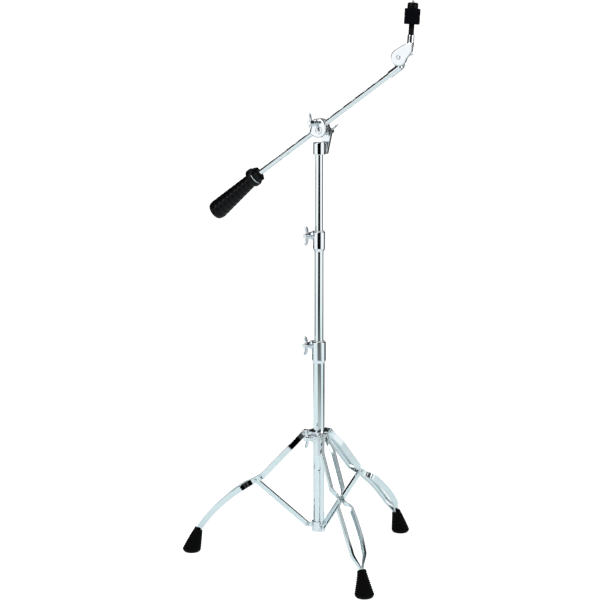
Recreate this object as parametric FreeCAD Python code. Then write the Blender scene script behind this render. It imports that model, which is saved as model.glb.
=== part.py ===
import FreeCAD, Part
import math
import os

# Cymbal boom stand: a folding tripod, two telescoping tubes held by clamps, a boom rod with a
# counterweight in a tilting clamp, and a cymbal tilter with felts and a nut.
# Millimetres and degrees. The origin is on the floor on the column's axis, and +Z is up.
# A bearing is an angle in plan, counter-clockwise from +X.

Vector = FreeCAD.Vector

# ---- fits -----------------------------------------------------------------------------------
RUN_FIT = 0.06           # radial clearance of a shaft that turns or slides in its bore
SEAT_FIT = 0.02          # radial clearance of a piece seated for good
FACE_GAP = 0.3           # gap between two faces that move past each other
THRUST_GAP = 0.1         # end gap of a bushing or washer between its shoulders

# ---- tubes ----------------------------------------------------------------------------------
BASE_TUBE_R = 14.3
BASE_TUBE_WALL = 1.5
BASE_TUBE_LENGTH = 456.0
MID_TUBE_R = 11.1
MID_TUBE_WALL = 1.2
MID_TUBE_LENGTH = 480.0
MID_TUBE_SHOWN = 226.0   # stretch between the two clamps
TOP_TUBE_R = 9.55
TOP_TUBE_WALL = 1.2
TOP_TUBE_LENGTH = 420.0
TOP_TUBE_SHOWN = 190.0   # stretch between the upper clamp and the boom bracket
GUIDE_LIP = 8.0          # height of the guide that centres a tube's lower end
GUIDE_PLUG = 16.0        # depth of a plug inside a tube
FOOT_PLUG_LIP = 3.0
DETENT_R = 1.6           # small hole in the front of the base tube
DETENT_HEIGHT = 234.0
SLOT_HEIGHT = 352.0      # short slot above the leg collar
SLOT_LENGTH = 8.0
SLOT_WIDTH = 2.4
SLOT_BEARING = 254.0

# ---- height clamps --------------------------------------------------------------------------
CLAMP_WALL = 3.0         # casting wall round the bushing
LOWER_CLAMP_HEIGHT = 54.0
UPPER_CLAMP_HEIGHT = 50.0
CLAMP_SOCKET = 28.0      # depth of the tube in the casting
CLAMP_EDGE = 1.5
CLAMP_SKIRT = 7.0        # taper at the casting's lower end
CLAMP_SKIRT_WALL = 1.2
BUSHING_WALL = 2.4
BUSHING_LIP = 1.6        # bushing shown above the casting
CLAMP_SLIT = 3.0
EAR_THICKNESS = 6.0
EAR_HEIGHT = 23.0
EAR_REACH = 7.0          # metal beyond the bolt's axis
CLAMP_BEARING = 135.0    # where the ears point
NUT_THICKNESS = 6.5
NUT_ACROSS_CORNERS = 15.0

# ---- wing bolts -----------------------------------------------------------------------------
BOLT_R = 4.0
HUB_R = 7.0
HUB_TIP_R = 5.6
HUB_LENGTH = 22.0
HUB_COLLAR_R = 8.6
HUB_COLLAR = 2.0
HUB_CLEAR = 0.6          # wing bolt's collar to the round of its clamp
DRILL_REACH = 30.0       # half length of the drill for cross holes
WING_SPAN = 24.0         # bolt axis to wing tip
WING_CHORD = 12.0
WING_THICKNESS = 5.2
WING_FLARE = 5.0         # how far the tip stands outside the root
WING_ROOT = 12.0         # height of the wing's middle on the hub

# ---- legs -----------------------------------------------------------------------------------
LEG_COUNT = 3
FIRST_LEG_BEARING = 168.4
LEG_PIVOT_RADIUS = 36.0
THIGH_LENGTH = 162.4     # leg pivot to the bend above the knee
THIGH_SLOPE = 47.07      # below horizontal
KNEE_SLOPE = 29.6
BEND_TO_KNEE = 18.9
KNEE_TO_SHIN = 34.4
SHIN_SLOPE_TOP = 33.5
SHIN_SLOPE_END = 56.0
SHIN_RADIUS = 435.0
SHIN_TAIL = 18.0         # strip end held inside the rubber foot
STRIP_WIDTH = 15.0
STRIP_GAUGE = 1.8        # sheet thickness
STRIP_DEPTH = 7.0        # height of the turned edges
THIGH_HALF_GAP = 11.3    # half the space between a leg's two strips
SHIN_HALF_GAP = 14.5
FOOT_HALF_GAP = 1.2
KNEE_DEPTH = 2.2
LEG_PIN_R = 3.0
LEG_PIN_HEAD_R = 5.2
LEG_PIN_HEAD = 2.2
KNEE_RIVET_R = 2.4
KNEE_RIVET_HEAD_R = 4.4
KNEE_RIVET_HEAD = 1.8
LEG_BEND_STEPS = 10

# ---- leg collar -----------------------------------------------------------------------------
LEG_COLLAR_WALL = 4.8
LEG_COLLAR_BELOW = 21.0  # ring below the leg pivots
LEG_COLLAR_ABOVE = 8.0
LEG_FLANGE_R = 25.0
LEG_FLANGE = 3.0
LEG_LUG_HALF = 4.4
LEG_LUG_R = 8.0
LOCK_BOSS_R = 8.0
LOCK_BOSS_REACH = 12.0
LOCK_TO_TUBE = 0.4       # bolt end to tube when loose

# ---- stays and their collar -----------------------------------------------------------------
STAY_PIVOT_RADIUS = 29.0
STAY_PIVOT_HEIGHT = 90.0
STAY_WIDTH = 12.5
STAY_GAUGE = 1.5
STAY_TONGUE = 4.0        # thickness of the collar's tongue between the stay's sides
STAY_SIDE_GAP = 0.2
STAY_MOUTH = 15.0        # stretch at each end with no web
STAY_COLLAR_WALL = 3.0
STAY_COLLAR_BELOW = 15.0
STAY_COLLAR_ABOVE = 11.0
STAY_PIN_R = 2.5
STAY_PIN_HEAD_R = 4.0
STAY_PIN_HEAD = 1.6
TUBE_BELOW_STAY_PIVOT = 11.0

# ---- rubber feet ----------------------------------------------------------------------------
FOOT_HEIGHT = 62.0       # floor to the middle of the foot's mouth
FOOT_LEAN = 19.0         # mouth to sole, sideways
FOOT_MOUTH_R = 11.0
FOOT_SOLE_R = 23.5
FOOT_SOLE_EDGE = 10.0    # height of the widest line
FOOT_FLAT_R = 14.0
FOOT_RIBS = 7
FOOT_RIB = 1.3
FOOT_POCKET_FIT = 0.25

# ---- boom bracket, clamp and tilt -----------------------------------------------------------
BOOM_BEARING = -28.0
BOOM_INCLINE = 34.8
BRACKET_WALL = 5.4
BRACKET_HEIGHT = 30.0
BRACKET_CAP = 5.0        # solid top over the tube
BOOM_RISE = 35.0         # bracket top to the boom's axis
DRUM_R = 23.5
DRUM_FRONT = 10.2
DRUM_REAR = 13.2
DRUM_SPLIT = 1.6
DRUM_EDGE = 2.2
DRUM_RECESS = 1.0
DRUM_RECESS_R = 8.5
TILT_OFFSET = 13.0       # tilt axis below the boom's axis
TILT_BOSS_R = 12.5
TILT_BOSS = 5.0
TILT_WASHER_R = 7.8
TILT_WASHER = 5.0
EAR_R = 12.5
EAR_PLATE = 10.0
BRACKET_ARM_HALF = 8.0
TILT_BOLT_HEAD_R = 5.0
TILT_BOLT_HEAD = 3.0
TILT_BOLT_SKIN = 4.5     # drum left between the bolt's head and the split face
CLAMP_BOLT_OFFSET = 15.5 # boom clamp bolt above the boom's axis
CLAMP_BOLT_R = 3.5
CLAMP_BOSS_R = 7.6
CLAMP_BOSS = 6.0
LINER_WALL = 1.2
LINER_LENGTH = 48.0

# ---- boom rod -------------------------------------------------------------------------------
ROD_R = 6.35
ROD_WALL = 1.4
ROD_FRONT = 258.0        # boom clamp to the rod's end in the tilter
ROD_BACK = 290.0         # boom clamp to the rod's end in the counterweight
INDEX_MARKS = 9
INDEX_PITCH = 38.4
INDEX_FIRST = -103.0
INDEX_R = 1.3
INDEX_DEPTH = 0.7
INDEX_TURN = 39.0        # mark's angle up from the near side of the rod

# ---- counterweight --------------------------------------------------------------------------
WEIGHT_FRONT = -217.5    # lock ring's seat, along the boom from its clamp
WEIGHT_FLANGE = 13.0
WEIGHT_FLANGE_R = 23.5
WEIGHT_BODY = 122.0
WEIGHT_NECK_R = 16.8
WEIGHT_NECK_DROP = 2.0
WEIGHT_END_R = 24.6
WEIGHT_END_DROP = 10.5
WEIGHT_DOME = 17.0
WEIGHT_DOME_R = 14.0
WEIGHT_RIBS = 9
WEIGHT_RIB = 0.9
WEIGHT_SKIN = 3.0
WEIGHT_BORE_SPARE = 62.0 # empty bore beyond the rod's end
TRIM_RING = 1.8
TRIM_RING_R = 21.8
LOCK_RING = 11.0
LOCK_RING_R = 17.5
LOCK_LUGS = 6
LOCK_LUG_WIDTH = 6.0
LOCK_LUG_RISE = 1.8

# ---- cymbal tilter --------------------------------------------------------------------------
FITTING_START = 230.0
FITTING_R = 8.6
FITTING_END = 263.0
TILTER_OUT = 276.0       # tilter pivot along the boom
TILTER_UP = 19.0         # tilter pivot above the boom's axis
TILTER_EAR_R = 16.0
TILTER_EAR = 8.0
TILTER_DISC_R = 20.6
TILTER_DISC = 9.0
TILTER_DISC_EDGE = 1.5
TILTER_CAP_R = 6.0
TILTER_CAP = 1.6
NECK_R = 8.35
NECK_LENGTH = 21.0
NECK_OUT = 27.5          # cymbal post beside the tilter pivot
NECK_UP = 33.0           # neck's lower end above the tilter pivot
POST_LEAN = 3.4

# ---- cymbal post ----------------------------------------------------------------------------
SEAT_R = 6.6
SEAT_LENGTH = 24.5
SLEEVE_R = 5.4
FELT_R = 19.0
FELT_LENGTH = 18.4
FELT_FIT = 0.3
STUD_R = 3.0
NUT_R = 13.0
NUT_LENGTH = 14.0
NUT_GROOVES = 16
NUT_GROOVE_R = 1.1
STUD_SHOWN = 5.0
STUD_SUNK = 14.0         # stud inside the neck


# ---- helpers --------------------------------------------------------------------------------
def cylinder(radius, z_low, z_high, x=0.0, y=0.0):
    """Upright cylinder between two heights."""
    return Part.makeCylinder(radius, z_high - z_low, Vector(x, y, z_low))


def ring(outer, inner, z_low, z_high):
    """Upright ring between two heights."""
    return cylinder(outer, z_low, z_high).cut(cylinder(inner, z_low - 1, z_high + 1))


def box(x_low, x_high, y_low, y_high, z_low, z_high):
    """Box between two corners."""
    corner = Vector(x_low, y_low, z_low)
    return Part.makeBox(x_high - x_low, y_high - y_low, z_high - z_low, corner)


def revolve(profile):
    """Solid of revolution about Z from (radius, height) points."""
    points = [Vector(radius, 0, height) for radius, height in profile]
    face = Part.Face(Part.makePolygon(points + [points[0]]))
    return face.revolve(Vector(0, 0, 0), Vector(0, 0, 1), 360)


def prism(outline, z_low, z_high):
    """Upright prism over a plan outline of (x, y) points."""
    points = [Vector(x, y, z_low) for x, y in outline]
    face = Part.Face(Part.makePolygon(points + [points[0]]))
    return face.extrude(Vector(0, 0, z_high - z_low))


def frame(origin, x_axis, z_axis):
    """Placement whose local X and Z run along the two given directions."""
    z_axis = Vector(z_axis).normalize()
    x_axis = Vector(x_axis)
    x_axis = (x_axis - z_axis * x_axis.dot(z_axis)).normalize()
    y_axis = z_axis.cross(x_axis)
    matrix = FreeCAD.Matrix(
        x_axis.x, y_axis.x, z_axis.x, origin.x,
        x_axis.y, y_axis.y, z_axis.y, origin.y,
        x_axis.z, y_axis.z, z_axis.z, origin.z,
        0, 0, 0, 1,
    )
    return FreeCAD.Placement(matrix)


def cross_hole(radius, centre):
    """Hole through a pivot, along local Y."""
    start = centre - Vector(0, DRILL_REACH, 0)
    return Part.makeCylinder(radius, 2 * DRILL_REACH, start, Vector(0, 1, 0))


def placed(shape, place):
    """Copy of a shape moved by a placement."""
    copy = shape.copy()
    copy.Placement = place.multiply(copy.Placement)
    return copy


def bearing(angle):
    """Level unit vector at a bearing."""
    return Vector(math.cos(math.radians(angle)), math.sin(math.radians(angle)), 0)


def fused(shapes):
    """One solid from shapes that touch or overlap."""
    whole = shapes[0]
    for shape in shapes[1:]:
        whole = whole.fuse(shape)
    return whole.removeSplitter()


def group(shapes):
    """Separate solids kept together in one node."""
    return Part.makeCompound(shapes)


def save(name, shape):
    """Write one node."""
    shape.exportStep("parts/%s.step" % name)


UP = Vector(0, 0, 1)

# ---- heights up the column ------------------------------------------------------------------
base_tube_bottom = STAY_PIVOT_HEIGHT - TUBE_BELOW_STAY_PIVOT
base_tube_top = base_tube_bottom + BASE_TUBE_LENGTH
lower_clamp_bottom = base_tube_top - CLAMP_SOCKET
lower_clamp_top = lower_clamp_bottom + LOWER_CLAMP_HEIGHT
upper_clamp_bottom = lower_clamp_top + MID_TUBE_SHOWN
upper_clamp_top = upper_clamp_bottom + UPPER_CLAMP_HEIGHT
mid_tube_top = upper_clamp_bottom + CLAMP_SOCKET
bracket_bottom = upper_clamp_top + TOP_TUBE_SHOWN
bracket_top = bracket_bottom + BRACKET_HEIGHT
top_tube_top = bracket_top - BRACKET_CAP
base_bore = BASE_TUBE_R - BASE_TUBE_WALL
mid_bore = MID_TUBE_R - MID_TUBE_WALL
top_bore = TOP_TUBE_R - TOP_TUBE_WALL

# ---- a leg's centre line, outwards and down from its pivot -------------------------------------
shin_arc = SHIN_RADIUS * math.radians(SHIN_SLOPE_END - SHIN_SLOPE_TOP)
knee_distance = THIGH_LENGTH + BEND_TO_KNEE
shin_start = knee_distance + KNEE_TO_SHIN
shin_end = shin_start + shin_arc


def step_along(point, slope, length):
    """Point reached from another at a slope below horizontal."""
    angle = math.radians(slope)
    return (point[0] + length * math.cos(angle), point[1] - length * math.sin(angle))


def leg_line(distance):
    """Radius, drop and slope of the leg's centre line at a distance from its pivot."""
    start = (0.0, 0.0)
    if distance <= THIGH_LENGTH:
        return step_along(start, THIGH_SLOPE, distance) + (THIGH_SLOPE,)
    bend = step_along(start, THIGH_SLOPE, THIGH_LENGTH)
    if distance <= shin_start:
        return step_along(bend, KNEE_SLOPE, distance - THIGH_LENGTH) + (KNEE_SLOPE,)
    shin = step_along(bend, KNEE_SLOPE, shin_start - THIGH_LENGTH)
    turned = min(distance - shin_start, shin_arc)
    slope = SHIN_SLOPE_TOP + math.degrees(turned / SHIN_RADIUS)
    first, last = math.radians(SHIN_SLOPE_TOP), math.radians(slope)
    along = SHIN_RADIUS * (math.sin(last) - math.sin(first))
    down = SHIN_RADIUS * (math.cos(first) - math.cos(last))
    point = (shin[0] + along, shin[1] - down)
    return step_along(point, slope, distance - shin_start - turned) + (slope,)


leg_pivot_height = FOOT_HEIGHT - leg_line(shin_end)[1]
leg_pivot = Vector(LEG_PIVOT_RADIUS, 0, leg_pivot_height)
knee_line = leg_line(knee_distance)
knee = Vector(LEG_PIVOT_RADIUS + knee_line[0], 0, leg_pivot_height + knee_line[1])
stay_pivot = Vector(STAY_PIVOT_RADIUS, 0, STAY_PIVOT_HEIGHT)
foot_mouth = Vector(LEG_PIVOT_RADIUS + leg_line(shin_end)[0], 0, FOOT_HEIGHT)

stay_inner = STAY_TONGUE / 2 + STAY_SIDE_GAP
stay_outer = stay_inner + STAY_GAUGE
knee_half_gap = stay_outer + FACE_GAP
leg_top_half_gap = LEG_LUG_HALF + FACE_GAP
strip_half = STRIP_WIDTH / 2

# Distance from the pivot, half gap inside, strip depth, share of the full width.
LEG_SECTIONS = [
    (-strip_half, leg_top_half_gap, STRIP_DEPTH * 0.7, 0.55),
    (-strip_half * 0.6, leg_top_half_gap, STRIP_DEPTH * 0.7, 0.88),
    (0.0, leg_top_half_gap, STRIP_DEPTH * 0.7, 1.0),
    (THIGH_LENGTH * 0.12, leg_top_half_gap, STRIP_DEPTH * 0.8, 1.0),
    (THIGH_LENGTH * 0.30, THIGH_HALF_GAP, STRIP_DEPTH, 1.0),
    (THIGH_LENGTH * 0.93, THIGH_HALF_GAP, STRIP_DEPTH, 1.0),
    (knee_distance - BEND_TO_KNEE * 0.5, knee_half_gap, KNEE_DEPTH, 1.0),
    (knee_distance + KNEE_TO_SHIN * 0.35, knee_half_gap, KNEE_DEPTH, 1.0),
    (shin_start + shin_arc * 0.02, SHIN_HALF_GAP * 0.92, STRIP_DEPTH, 1.0),
    (shin_start + shin_arc * 0.25, SHIN_HALF_GAP * 0.98, STRIP_DEPTH, 1.0),
    (shin_start + shin_arc * 0.52, SHIN_HALF_GAP, STRIP_DEPTH, 1.0),
    (shin_start + shin_arc * 0.76, SHIN_HALF_GAP * 0.86, STRIP_DEPTH, 1.0),
    (shin_end, FOOT_HALF_GAP, KNEE_DEPTH * 1.5, 1.0),
    (shin_end + SHIN_TAIL, FOOT_HALF_GAP, KNEE_DEPTH * 1.5, 1.0),
]


def leg_stations():
    """The strip's sections with the curved shin divided evenly."""
    stations = []
    for first, second in zip(LEG_SECTIONS, LEG_SECTIONS[1:]):
        count = max(1, round(LEG_BEND_STEPS * (second[0] - first[0]) / shin_arc))
        if second[0] <= shin_start:
            count = 1
        for index in range(count):
            share = index / count
            stations.append([a + (b - a) * share for a, b in zip(first, second)])
    stations.append(list(LEG_SECTIONS[-1]))
    return stations


def strip_section(station, side):
    """Channel section of one strip, open towards its twin."""
    distance, half_gap, depth, share = station
    out, drop, slope = leg_line(distance)
    if abs(distance - THIGH_LENGTH) < 1e-6:
        slope = (THIGH_SLOPE + KNEE_SLOPE) / 2
    angle = math.radians(slope)
    across = Vector(math.sin(angle), 0, math.cos(angle))
    centre = leg_pivot + Vector(out, 0, drop)
    half = strip_half * share
    web = min(STRIP_GAUGE, depth * 0.8)
    outline = [
        (-half, depth), (half, depth), (half, 0), (half - STRIP_GAUGE, 0),
        (half - STRIP_GAUGE, depth - web), (STRIP_GAUGE - half, depth - web),
        (STRIP_GAUGE - half, 0), (-half, 0),
    ]
    points = [centre + across * a + Vector(0, side * (half_gap + b), 0) for a, b in outline]
    return Part.makePolygon(points + [points[0]])


def leg_strip(side):
    """One pressed strip of a leg, in the plane of bearing 0."""
    sections = [strip_section(station, side) for station in leg_stations()]
    strip = Part.makeLoft(sections, True, True)
    for centre, radius in ((leg_pivot, LEG_PIN_R + RUN_FIT), (knee, KNEE_RIVET_R + SEAT_FIT)):
        strip = strip.cut(cross_hole(radius, centre))
    return strip


def headed_pin(centre, radius, head_radius, head, inner, outer):
    """Level pin across a leg's plane with a head on each end; inner above 0 leaves two stubs."""
    pieces = []
    for side in (-1, 1):
        start = centre + Vector(0, side * inner, 0)
        along = Vector(0, side, 0)
        shank = Part.makeCylinder(radius, outer - inner, start, along)
        cap = Part.makeCone(head_radius, head_radius * 0.7, head, centre + along * outer, along)
        pieces.append(shank.fuse(cap))
    if inner > 0:
        return pieces
    return [fused(pieces)]


def rubber_foot():
    """Flared rubber foot with ribs, a flat sole and a pocket for the strips."""
    rise = FOOT_HEIGHT - FOOT_SOLE_EDGE
    sole = foot_mouth + Vector(FOOT_LEAN, 0, -FOOT_HEIGHT)
    lean = math.degrees(math.atan2(FOOT_LEAN, rise))
    circles = []
    steps = 2 * FOOT_RIBS
    for index in range(steps + 1):
        share = index / steps
        centre = foot_mouth + (sole + Vector(0, 0, FOOT_SOLE_EDGE) - foot_mouth) * share
        radius = FOOT_MOUTH_R + (FOOT_SOLE_R - FOOT_MOUTH_R) * share
        if index % 2 and index > 1:
            radius -= FOOT_RIB
        tilt = math.radians(lean * (1 - share) * 1.5)
        normal = Vector(-math.sin(tilt), 0, math.cos(tilt))
        circles.append(Part.Wire(Part.makeCircle(radius, centre, normal)))
    for share, radius in ((0.55, 0.92), (0.2, 0.8)):
        height = FOOT_SOLE_EDGE * share
        circles.append(Part.Wire(Part.makeCircle(FOOT_SOLE_R * radius, sole + UP * height, UP)))
    circles.append(Part.Wire(Part.makeCircle(FOOT_FLAT_R, sole, UP)))
    foot = Part.makeLoft(circles, True, True)
    return foot.cut(foot_pocket())


def foot_pocket():
    """Hollow in a foot that takes both strip ends."""
    _, _, slope = leg_line(shin_end)
    along = Vector(math.cos(math.radians(slope)), 0, -math.sin(math.radians(slope)))
    half_thick = FOOT_HALF_GAP + KNEE_DEPTH * 1.5 + FOOT_POCKET_FIT
    half_wide = strip_half + FOOT_POCKET_FIT
    depth = SHIN_TAIL + FOOT_POCKET_FIT
    pocket = box(-half_wide, half_wide, -half_thick, half_thick, -30, depth)
    return placed(pocket, frame(foot_mouth, along.cross(Vector(0, 1, 0)), along))


def stay():
    """Channel stay from the stay collar to the knee, open below."""
    run = knee - stay_pivot
    length = run.Length
    half = STAY_WIDTH / 2
    blank = box(0, length, -stay_outer, stay_outer, -half, half)
    for x in (0, length):
        end = Part.makeCylinder(half, 2 * stay_outer, Vector(x, -stay_outer, 0), Vector(0, 1, 0))
        blank = blank.fuse(end)
    slot = box(-half - 1, length + half + 1, -stay_inner, stay_inner, -half - 1, half - STAY_GAUGE)
    mouth = box(-half - 1, STAY_MOUTH, -stay_inner, stay_inner, -half - 1, half + 1)
    blank = blank.cut(slot).cut(mouth)
    hole = cross_hole(STAY_PIN_R + RUN_FIT, Vector(0, 0, 0))
    blank = blank.cut(hole)
    blank = blank.cut(hole.translated(Vector(length, 0, 0)))
    return placed(blank, frame(stay_pivot, run, run.cross(Vector(0, 1, 0))))


def tripod_leg(name, angle):
    """The pieces of one leg and its stay, turned to the leg's bearing."""
    turn = FreeCAD.Placement(Vector(0, 0, 0), FreeCAD.Rotation(UP, angle))
    rivet_outer = knee_half_gap + KNEE_DEPTH
    rivets = headed_pin(
        knee, KNEE_RIVET_R, KNEE_RIVET_HEAD_R, KNEE_RIVET_HEAD, knee_half_gap, rivet_outer
    )
    save("leg_strip_near_" + name, placed(leg_strip(-1), turn))
    save("leg_strip_far_" + name, placed(leg_strip(1), turn))
    save("knee_rivets_" + name, placed(group(rivets), turn))
    save("foot_" + name, placed(rubber_foot(), turn))
    save("stay_" + name, placed(stay(), turn))


leg_bearings = [FIRST_LEG_BEARING + 360.0 * index / LEG_COUNT for index in range(LEG_COUNT)]
lock_bearing = FIRST_LEG_BEARING + 180.0 / LEG_COUNT


def wing_section(x, centre_z, half_thick, half_chord):
    """Oval section of a wing at a distance from the bolt's axis."""
    oval = Part.Ellipse(Vector(0, 0, 0), half_chord, half_thick)
    wire = Part.Wire(oval.toShape())
    return placed(wire, frame(Vector(x, 0, centre_z), Vector(0, 0, 1), Vector(1, 0, 0)))


def wing_bolt(shank, radius=BOLT_R):
    """Wing bolt with its seat at z = 0, hub above and shank below; wings lie along local X."""
    collar = cylinder(HUB_COLLAR_R, 0, HUB_COLLAR)
    hub = Part.makeCone(HUB_R, HUB_TIP_R, HUB_LENGTH, Vector(0, 0, 0))
    pieces = [hub, collar, cylinder(radius, -shank, HUB_COLLAR)]
    for side in (-1, 1):
        sections = []
        for share, lift, thick, chord in (
            (0.12, 0.0, 1.0, 0.85), (0.45, 0.15, 0.85, 0.88), (0.75, 0.62, 0.72, 1.0),
            (0.93, 0.95, 0.62, 0.78), (1.0, 1.05, 0.4, 0.35),
        ):
            sections.append(wing_section(
                side * WING_SPAN * share, WING_ROOT + WING_FLARE * lift,
                WING_THICKNESS / 2 * thick, WING_CHORD / 2 * chord,
            ))
        pieces.append(Part.makeLoft(sections, True, False))
    return fused(pieces)


def hex_nut(across, thickness, bore):
    """Hexagon nut from z = 0 upwards."""
    outline = []
    for corner in range(6):
        point = bearing(60 * corner) * (across / 2)
        outline.append((point.x, point.y))
    return prism(outline, 0, thickness).cut(cylinder(bore, -1, thickness + 1))


# ---- column: base tube and its collar ---------------------------------------------------------
def base_tube():
    """Outer tube with a small front hole and a short slot above the leg collar."""
    tube = ring(BASE_TUBE_R, base_bore, base_tube_bottom, base_tube_top)
    front = Part.makeCylinder(
        DETENT_R, BASE_TUBE_R * 2, Vector(0, 0, DETENT_HEIGHT), Vector(0, -1, 0)
    )
    slot = box(
        0, BASE_TUBE_R * 2, -SLOT_WIDTH / 2, SLOT_WIDTH / 2,
        SLOT_HEIGHT - SLOT_LENGTH / 2, SLOT_HEIGHT + SLOT_LENGTH / 2,
    )
    slot = placed(slot, FreeCAD.Placement(Vector(0, 0, 0), FreeCAD.Rotation(UP, SLOT_BEARING)))
    return tube.cut(front).cut(slot)


def stay_collar():
    """Ring at the foot of the tube with a tongue for each stay."""
    low = STAY_PIVOT_HEIGHT - STAY_COLLAR_BELOW
    high = STAY_PIVOT_HEIGHT + STAY_COLLAR_ABOVE
    outer = BASE_TUBE_R + STAY_COLLAR_WALL
    pieces = [cylinder(outer, low, high)]
    tongue_r = STAY_WIDTH / 2
    half = STAY_TONGUE / 2
    for angle in leg_bearings:
        tip = Part.makeCylinder(tongue_r, STAY_TONGUE, stay_pivot - Vector(0, half, 0), Vector(0, 1, 0))
        root = box(
            BASE_TUBE_R, STAY_PIVOT_RADIUS, -half, half,
            STAY_PIVOT_HEIGHT - tongue_r, STAY_PIVOT_HEIGHT + tongue_r,
        )
        hole = cross_hole(STAY_PIN_R + SEAT_FIT, stay_pivot)
        turn = FreeCAD.Placement(Vector(0, 0, 0), FreeCAD.Rotation(UP, angle))
        pieces.append(placed(tip.fuse(root).cut(hole), turn))
    bore = cylinder(BASE_TUBE_R + SEAT_FIT, low - 1, high + 1)
    return fused(pieces).cut(bore)


def stay_pins():
    """One headed pin through each stay and its tongue."""
    pins = []
    for angle in leg_bearings:
        pin = headed_pin(
            stay_pivot, STAY_PIN_R, STAY_PIN_HEAD_R, STAY_PIN_HEAD, 0, stay_outer + FACE_GAP
        )
        turn = FreeCAD.Placement(Vector(0, 0, 0), FreeCAD.Rotation(UP, angle))
        pins.append(placed(pin[0], turn))
    return group(pins)


def base_plug():
    """Rubber plug in the tube's lower end."""
    low = base_tube_bottom - FOOT_PLUG_LIP
    inside = cylinder(base_bore - SEAT_FIT, low, base_tube_bottom + GUIDE_PLUG)
    return inside.fuse(cylinder(BASE_TUBE_R, low, base_tube_bottom))


# ---- leg collar ---------------------------------------------------------------------------------
def leg_collar():
    """Sliding ring with a lug for each leg, a top flange and a boss for the lock bolt."""
    low = leg_pivot_height - LEG_COLLAR_BELOW
    high = leg_pivot_height + LEG_COLLAR_ABOVE
    outer = BASE_TUBE_R + LEG_COLLAR_WALL
    pieces = [cylinder(outer, low, high), cylinder(LEG_FLANGE_R, high - LEG_FLANGE, high)]
    across = Vector(0, LEG_LUG_HALF, 0)
    for angle in leg_bearings:
        tip = Part.makeCylinder(LEG_LUG_R, 2 * LEG_LUG_HALF, leg_pivot - across, Vector(0, 1, 0))
        root = box(
            BASE_TUBE_R, LEG_PIVOT_RADIUS, -LEG_LUG_HALF, LEG_LUG_HALF,
            leg_pivot_height - LEG_LUG_R, leg_pivot_height + LEG_COLLAR_ABOVE,
        )
        hole = cross_hole(LEG_PIN_R + SEAT_FIT, leg_pivot)
        turn = FreeCAD.Placement(Vector(0, 0, 0), FreeCAD.Rotation(UP, angle))
        pieces.append(placed(tip.fuse(root).cut(hole), turn))
    reach = outer + LOCK_BOSS_REACH
    pieces.append(Part.makeCylinder(LOCK_BOSS_R, reach, Vector(0, 0, lock_height), bearing(lock_bearing)))
    collar = fused(pieces).cut(cylinder(BASE_TUBE_R + RUN_FIT, low - 1, high + 1))
    bolt_way = Part.makeCylinder(
        BOLT_R + RUN_FIT, reach + 1, Vector(0, 0, lock_height), bearing(lock_bearing)
    )
    return collar.cut(bolt_way)


def leg_pins():
    """One headed pin through each leg's strips and its lug."""
    outer = leg_top_half_gap + STRIP_DEPTH * 0.7 + FACE_GAP
    pins = []
    for angle in leg_bearings:
        pin = headed_pin(leg_pivot, LEG_PIN_R, LEG_PIN_HEAD_R, LEG_PIN_HEAD, 0, outer)
        turn = FreeCAD.Placement(Vector(0, 0, 0), FreeCAD.Rotation(UP, angle))
        pins.append(placed(pin[0], turn))
    return group(pins)


lock_height = leg_pivot_height - (LEG_COLLAR_BELOW - LEG_COLLAR_ABOVE) / 2
lock_seat = BASE_TUBE_R + LEG_COLLAR_WALL + LOCK_BOSS_REACH + THRUST_GAP


def leg_lock():
    """Wing bolt that presses on the tube through the leg collar."""
    shank = lock_seat - BASE_TUBE_R - LOCK_TO_TUBE
    out = bearing(lock_bearing)
    return placed(wing_bolt(shank), frame(out * lock_seat + UP * lock_height, UP, out))


# ---- height clamps --------------------------------------------------------------------------------
clamp_tangent = bearing(CLAMP_BEARING + 90)
ear_half = CLAMP_SLIT / 2 + EAR_THICKNESS


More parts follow.
